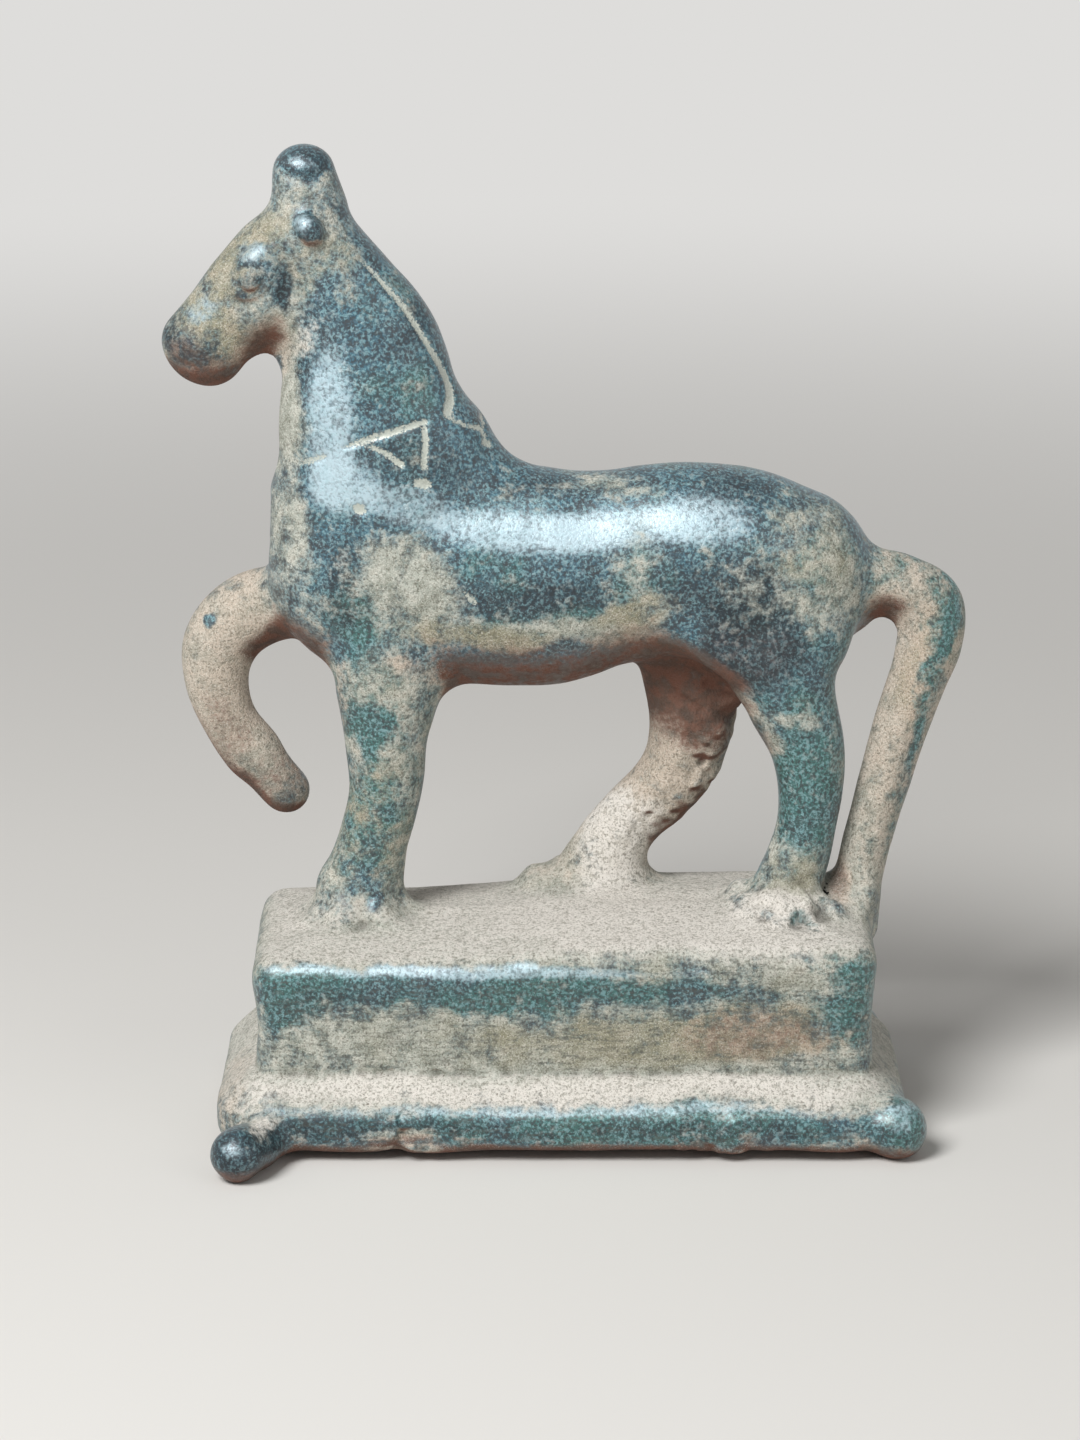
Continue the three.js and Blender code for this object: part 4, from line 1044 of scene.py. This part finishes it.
class Finish:
    """A node material that is built up call by call."""

    def __init__(self, name):
        self.material = bpy.data.materials.new(name)
        self.material.use_nodes = True
        self.tree = self.material.node_tree
        self.tree.nodes.clear()
        self.object_place = self.node("ShaderNodeTexCoord").outputs["Object"]

    def node(self, kind, settings=None, **sockets):
        return wired(self.tree, kind, settings, **sockets)

    def stored(self, name):
        """An amount that is stored on the skin."""
        node = self.node("ShaderNodeAttribute", {"attribute_name": name})
        return Value(self.tree, node.outputs["Fac"])

    def noise(self, size, detail, roughness, stretch=(1, 1, 1)):
        """Noise with features of so many millimetres, 0 to 1. Stretch draws them out on x, y, z."""
        place = self.node("ShaderNodeVectorMath", {"operation": "MULTIPLY"})
        self.tree.links.new(self.object_place, place.inputs[0])
        place.inputs[1].default_value = [1 / (size * MM * s) for s in stretch]
        grain = {"Scale": 1.0, "Detail": detail, "Roughness": roughness}
        node = self.node("ShaderNodeTexNoise", Vector=place.outputs[0], **grain)
        return Value(self.tree, node.outputs["Fac"])

    def mix(self, amount, first, second):
        """The second colour over the first, by the amount."""
        node = self.node("ShaderNodeMix", {"data_type": "RGBA"})
        for slot, value in ((0, amount), (6, first), (7, second)):
            feed(self.tree, node.inputs[slot], value)
        return node.outputs[2]

    def layers(self, colour, *laid):
        """Lays colours over the first one, each by its amount."""
        for amount, over in laid:
            colour = self.mix(amount, colour, over)
        return colour


def paint(red, green, blue):
    """A colour given from 0 to 255 on screen, as a linear one."""
    shown = (red, green, blue)
    linear = [((v / 255 + 0.055) / 1.055) ** 2.4 if v > 10 else v / 3295 for v in shown]
    return (*linear, 1.0)


# The patina, with a painted highlight in pale blue-white
TEAL, STEEL_BLUE = paint(16, 50, 64), paint(50, 112, 134)
GREEN, DEEP_BLUE, INK = paint(34, 98, 90), paint(12, 36, 48), paint(16, 32, 42)
PALE_GRAIN, PAINTED_HIGHLIGHT_BLUE = paint(134, 182, 190), paint(200, 224, 234)
PALE_VEIN, DARK_CELL = paint(148, 186, 192), paint(5, 22, 30)
# The earth
GREY_EARTH, PALE_EARTH = paint(144, 148, 136), paint(188, 192, 182)
OLIVE_EARTH, PINK_EARTH = paint(142, 136, 108), paint(200, 180, 162)
BROWN_EARTH, CHALK, WHITE_GRAIN = paint(112, 78, 64), paint(222, 217, 209), paint(230, 226, 216)
EARTH_VEIN, EARTH_SHADOW = paint(112, 106, 90), paint(104, 100, 84)
EARTH_PORE = paint(88, 80, 66)
# What lies over both, with the painted shade of the hollows and of the undersides
SCRATCH, LINE_FILL, LINE_RIM = paint(80, 82, 74), paint(194, 199, 188), paint(26, 42, 52)
PAINTED_HOLLOW_SHADE, DARK_PAINTED_SHADE, WARM_PAINTED_SHADE = paint(52, 50, 42), paint(76, 54, 43), paint(102, 64, 48)


def patinated(name, gloss, coarseness=1.0):
    """Bronze with its patina and earth. Gloss is the patina's roughness, coarseness the earth's
    relief."""
    f = Finish(name)
    broad = f.noise(4.0, 3, 0.55)
    blotch = f.noise(1.5, 4, 0.6)
    mottle = f.noise(0.5, 3, 0.6)
    pebble = f.noise(0.3, 2, 0.5)
    speck = f.noise(0.2, 2, 0.6)
    fine = f.noise(0.13, 2, 0.55)
    streak = f.noise(0.35, 3, 0.6, stretch=(7, 7, 1))
    grain = 0.5 * pebble + 0.25 * mottle + 0.25 * speck
    vein = abs(f.noise(0.8, 2, 0.6) - 0.5).between(0.028, 0.004)  # thin winding lines
    earth, green, ink, rust, olive, chalk, painted_highlight, under = (f.stored(kind) for kind in PATCHES)
    brushed, hollow, line = f.stored("brushed"), f.stored("hollow"), f.stored("line")

    # The patina: steel blue with teal in it, pale grains over dark cells, and a painted highlight
    # in pale blue-white where the key lamp's highlights fall, with fewer dark cells under it
    dark = (ink + 1.8 * (blotch - 0.5) + 1.0 * (mottle - 0.5)).between(0.1, 1.0)
    verdigris = (green + 1.8 * (broad - 0.5) + 1.2 * (blotch - 0.5)).between(0.1, 1.0)
    # Painted highlight in pale blue-white where the key lamp's highlights fall
    painted_highlight_mask = (painted_highlight + 1.6 * (mottle - 0.5) + 0.8 * (blotch - 0.5)).between(0.0, 1.25)
    tone = f.layers(
        f.mix(blotch.between(0.36, 0.64), TEAL, STEEL_BLUE),
        (verdigris * 0.85, GREEN),
        (broad.between(0.52, 0.38) * 0.4, DEEP_BLUE),
        (dark * 0.85, INK),
        (grain.between(0.5, 0.6) * (0.55 - 0.25 * dark), PALE_GRAIN),
        (painted_highlight_mask * 0.78, PAINTED_HIGHLIGHT_BLUE),
        (vein * (0.4 - 0.2 * dark), PALE_VEIN),
        (grain.between(0.5, 0.42) * (0.8 - 0.4 * painted_highlight), DARK_CELL),
    )

    # The earth: fine grey grains, pinker, browner or greener by its place
    soil = f.layers(
        f.mix(blotch.between(0.35, 0.65), GREY_EARTH, PALE_EARTH),
        ((olive + 1.2 * (broad - 0.5)).between(0.1, 1.1) * 0.8, OLIVE_EARTH),
        ((rust + 0.8 * (blotch - 0.5)).between(0.0, 0.5) * 0.75, PINK_EARTH),
        ((rust + 1.0 * (blotch - 0.5)).between(0.45, 1.2), BROWN_EARTH),
        ((chalk + 0.9 * (mottle - 0.5)).between(0.1, 0.9), CHALK),
        (fine.between(0.5, 0.64) * 0.4, WHITE_GRAIN),
        (vein * 0.3, EARTH_VEIN),
        (grain.between(0.5, 0.42) * 0.4, EARTH_SHADOW),
        ((0.5 * speck + 0.5 * fine).between(0.46, 0.38) * 0.5, EARTH_PORE),
    )

    # Both together, with the brush marks on the stand, the filled lines, painted shade in the
    # hollows and painted dark reddish-brown shade on the undersides, with a little brown stain
    drift = 1.8 * (broad - 0.5) + 2.8 * (blotch - 0.5) + 1.2 * (mottle - 0.5)
    drift = drift + 0.9 * (grain - 0.5) + 1.2 * brushed * (streak - 0.5)
    cover = (earth + drift).between(-0.5, 0.95)
    scratched = brushed * (streak + 0.3 * (speck - 0.5)).between(0.5, 0.36)
    fill = (line + 0.6 * (speck - 0.5) + 0.4 * (mottle - 0.5)).between(0.03, -0.12)
    rim = (line + 0.1).between(0.2, 0.02) * (1.0 - fill)
    painted_shade_and_stain = (under + 0.7 * (mottle - 0.5) + 0.6 * (grain - 0.5)).between(0.02, 0.75)
    colour = f.layers(
        f.mix(cover, tone, soil),
        (scratched * 0.4, SCRATCH),
        (fill * (0.65 + 0.5 * fine), LINE_FILL),
        (rim * 0.35, LINE_RIM),
        # Painted shade in the hollows
        (hollow.between(0.15, 1.3) * (0.25 + 0.35 * cover), PAINTED_HOLLOW_SHADE),
        # Painted shade in dark reddish brown on the undersides, with a little brown stain
        (painted_shade_and_stain * 0.92, f.mix(blotch.between(0.4, 0.6), DARK_PAINTED_SHADE, WARM_PAINTED_SHADE)),
    )

    relief = mottle * 0.2 + pebble * 0.35 + speck * 0.25 + fine * 0.2
    relief = relief * (0.6 + cover * coarseness * 0.7)
    bump = f.node("ShaderNodeBump", Strength=1.0, Distance=0.2 * MM, Height=relief)
    shader = f.node(
        "ShaderNodeBsdfPrincipled",
        BaseColor=colour,
        Roughness=gloss + cover * (0.84 - gloss) + 0.25 * (mottle - 0.5),
        Metallic=0.25 - 0.25 * cover,
        SpecularIORLevel=0.6,
        CoatWeight=(1.0 - cover) * (1.0 - 0.6 * dark),
        CoatRoughness=gloss - 0.02,
        CoatIOR=1.6,
        Normal=bump.outputs[0],
    )
    f.tree.links.new(shader.outputs[0], f.node("ShaderNodeOutputMaterial").inputs[0])
    return f.material


FINISHES = {
    "patina_bronze": patinated("patina bronze", 0.44),
    "green_bronze": patinated("green bronze", 0.46),
    "dark_bronze": patinated("dark bronze", 0.4),
    "earthen_bronze": patinated("earthen bronze", 0.46),
    "solder_bronze": patinated("solder", 0.48, 1.3),
}


# ----------------------------------------------------------------------------
# Pieces. The skin is parted along the joints between the members, so that each member is its own
# closed piece. They were cast in one, and meet without a gap.

def islands(count, first, second):
    """Which of the count items hang together by the links from first to second."""
    root = np.arange(count)
    while True:
        a, b = root[first], root[second]
        apart = a != b
        if not apart.any():
            return root
        np.minimum.at(root, np.maximum(a, b)[apart], np.minimum(a, b)[apart])
        while (root != root[root]).any():
            root = root[root]


CRUMB = 30  # faces
LONG_RIM = 400  # edges, as only the rims that run round the plinth have
sides = np.stack([quads, np.roll(quads, -1, 1)], -1).reshape(-1, 2)
key = np.sort(sides, 1).astype(np.int64)
key = key[:, 0] * len(points) + key[:, 1]
order = np.argsort(key, kind="stable")
pair = np.flatnonzero(key[order][1:] == key[order][:-1])
face_a, face_b = order[pair] // 4, order[pair + 1] // 4
for _ in range(2):  # crumbs of one member inside another go to that other
    same = owner[face_a] == owner[face_b]
    group = islands(len(quads), face_a[same], face_b[same])
    crumbs = np.bincount(group, minlength=len(quads))[group] < CRUMB
    for one, other in ((face_a, face_b), (face_b, face_a)):
        take = crumbs[one] & ~crumbs[other]
        owner[one[take]] = owner[other[take]]


def band_between(place, first, second):
    """Triangles between two rims that run opposite ways round the upright axis."""
    rims = []
    for loop, way in ((first, 1), (second, -1)):
        loop = loop[::way]
        turn = np.unwrap(np.arctan2(place[loop, 1], place[loop, 0]))
        if turn[-1] < turn[0]:
            turn = -turn
        start = int(np.argmin(turn % (2 * np.pi)))
        loop = loop[start:] + loop[:start]
        turn = np.concatenate([turn[start:], turn[:start] + 2 * np.pi])
        rims.append((loop + loop[:1], np.append(turn - turn[0], 2 * np.pi)))
    (one, turn_one), (two, turn_two) = rims
    i = j = 0
    faces = []
    while i < len(one) - 1 or j < len(two) - 1:
        if j == len(two) - 1 or (i < len(one) - 1 and turn_one[i + 1] <= turn_two[j + 1]):
            faces.append((one[i + 1], one[i], two[j]))
            i += 1
        else:
            faces.append((one[i], two[j], two[j + 1]))
            j += 1
    return faces


SLOTS = {part["node"]: part["material_slot"] for part in frame["record"]["subparts"]}
for index, name in enumerate(names):
    faces = quads[owner == index].astype(np.int64)
    corner = np.arange(faces.size).reshape(-1, 4)
    start, end = corner.ravel(), np.roll(corner, -1, 1).ravel()
    flat = faces.ravel()
    key, back = flat[start] * len(points) + flat[end], flat[end] * len(points) + flat[start]
    order = np.argsort(key)
    match = order[np.clip(np.searchsorted(key[order], back), 0, len(key) - 1)]
    shared = key[match] == back
    other = match[shared]
    first, second = np.append(start[shared], end[shared]), np.append(end[other], start[other])
    group = islands(faces.size, first, second)
    used, local = np.unique(group, return_inverse=True)  # one vertex for each fan of faces
    local = local.reshape(-1, 4)
    rim = np.stack([local.ravel()[start], local.ravel()[end]], -1)[~shared]
    used = flat[used]
    place = points[used].astype(float)
    normal = outwards[used]
    amounts = {kind: finish[kind][used] for kind in finish}
    caps = []
    if len(rim):
        after = dict(rim.tolist())
        loops = []
        while after:
            loop = [next(iter(after))]
            while loop[-1] in after:
                loop.append(after.pop(loop[-1]))
            loops.append(loop[:-1])
        wide = [loop for loop in loops if len(loop) > LONG_RIM]
        if len(wide) == 2:  # the plinth and the foot frame meet in a band round the hollow
            caps += band_between(place, *wide)
            loops = [loop for loop in loops if len(loop) <= LONG_RIM]
        for loop in loops:
            caps += [(b, a, len(place)) for a, b in zip(loop, loop[1:] + loop[:1])]
            place = np.vstack([place, place[loop].mean(0)])
            normal = np.vstack([normal, [0, 0, 1]])
            amounts = {kind: np.append(values, 0.0) for kind, values in amounts.items()}
    mesh = bpy.data.meshes.new(name)
    caps = np.array(caps, np.int32).reshape(-1, 3)
    mesh.vertices.add(len(place))
    mesh.vertices.foreach_set("co", (place * MM).astype(np.float32).ravel())
    mesh.loops.add(local.size + caps.size)
    round_faces = np.concatenate([local.ravel(), caps.ravel()])
    mesh.loops.foreach_set("vertex_index", round_faces.astype(np.int32))
    mesh.polygons.add(len(local) + len(caps))
    starts = np.concatenate([np.arange(len(local)) * 4, local.size + np.arange(len(caps)) * 3])
    mesh.polygons.foreach_set("loop_start", starts.astype(np.int32))
    mesh.update(calc_edges=True)
    mesh.polygons.foreach_set("use_smooth", np.ones(len(local) + len(caps), bool))
    for kind, values in amounts.items():
        stored = mesh.attributes.new(kind, "FLOAT", "POINT")
        stored.data.foreach_set("value", np.asarray(values, np.float32))
    mesh.normals_split_custom_set_from_vertices(normal.astype(np.float32))
    mesh.materials.append(FINISHES[SLOTS[name]])
    piece = bpy.data.objects.new("fine_" + name, mesh)
    bpy.context.scene.collection.objects.link(piece)
    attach(piece, "root")
    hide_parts(name)


# ----------------------------------------------------------------------------
# Studio. A pale floor, a large soft lamp from the left front, a weak fill from the right, a pale
# world, and the camera, which looks down a little at the near side.

BACKGROUND = paint(222, 221, 219)
FLOOR = 4  # half of its side, in metres
floor_corners = [(-FLOOR, -FLOOR, 0), (FLOOR, -FLOOR, 0), (FLOOR, FLOOR, 0), (-FLOOR, FLOOR, 0)]
floor_mesh = bpy.data.meshes.new("floor")
floor_mesh.from_pydata(floor_corners, [], [(0, 1, 2, 3)])
floor = bpy.data.objects.new("floor", floor_mesh)
bpy.context.scene.collection.objects.link(floor)


def seen_rays(tree):
    """1 for the rays that show the background: from the camera, mirrored or passed through."""
    path = tree.nodes.new("ShaderNodeLightPath").outputs
    camera, mirrored = Value(tree, path["Is Camera Ray"]), Value(tree, path["Is Glossy Ray"])
    through = Value(tree, path["Is Transmission Ray"])
    return (camera + mirrored + through).between(0.0, 1.0)


paper = Finish("paper")
sheet = paper.node("ShaderNodeBsdfPrincipled", BaseColor=paint(226, 224, 220), Roughness=0.9)
glow = paper.node("ShaderNodeEmission", Color=BACKGROUND, Strength=1.0)
far_off = paper.node("ShaderNodeVectorMath", {"operation": "LENGTH"})
paper.tree.links.new(paper.object_place, far_off.inputs[0])
far_off = Value(paper.tree, far_off.outputs["Value"]).between(0.12, 0.55)  # metres
both = paper.node("ShaderNodeMixShader", Fac=far_off * seen_rays(paper.tree))
paper.tree.links.new(sheet.outputs[0], both.inputs[1])
paper.tree.links.new(glow.outputs[0], both.inputs[2])
paper.tree.links.new(both.outputs[0], paper.node("ShaderNodeOutputMaterial").inputs[0])
floor_mesh.materials.append(paper.material)

world = bpy.data.worlds.new("studio")
world.use_nodes = True
ambient = world.node_tree.nodes["Background"]
ambient.inputs["Color"].default_value = BACKGROUND
feed(world.node_tree, ambient.inputs["Strength"], 0.3 + 0.6 * seen_rays(world.node_tree))
bpy.context.scene.world = world


HORSE_MIDDLE = (0, 0, 0.045)


def lamp(name, place, size, power):
    """A round lamp that points at the middle of the horse, in metres and watts."""
    light = bpy.data.lights.new(name, "AREA")
    light.shape, light.size, light.energy = "DISK", size, power
    holder = bpy.data.objects.new(name, light)
    bpy.context.scene.collection.objects.link(holder)
    holder.location = place
    x, y, z = np.array(place) - HORSE_MIDDLE
    holder.rotation_euler = (np.arctan2(np.hypot(x, y), z), 0, np.arctan2(y, x) + np.pi / 2)


lamp("key", (-0.23, -0.33, 0.44), 0.26, 3.25)
lamp("fill", (0.5, -0.5, 0.3), 0.5, 0.6)

LOOK_DOWN = 15.54  # degrees
CAMERA_PLACE = (-0.00225, -0.4, 0.1491)  # from the members' x = y = 0
view = bpy.data.cameras.new("camera")
view.lens = 113.4  # as solved from the plinth's edges
view.clip_start, view.clip_end = 0.01, 20
eye = bpy.data.objects.new("camera", view)
eye.location = CAMERA_PLACE + HOME * MM
eye.rotation_euler = (np.radians(90 - LOOK_DOWN), 0, 0)
bpy.context.scene.collection.objects.link(eye)
bpy.context.scene.camera = eye
bpy.context.scene.view_settings.view_transform = "Standard"
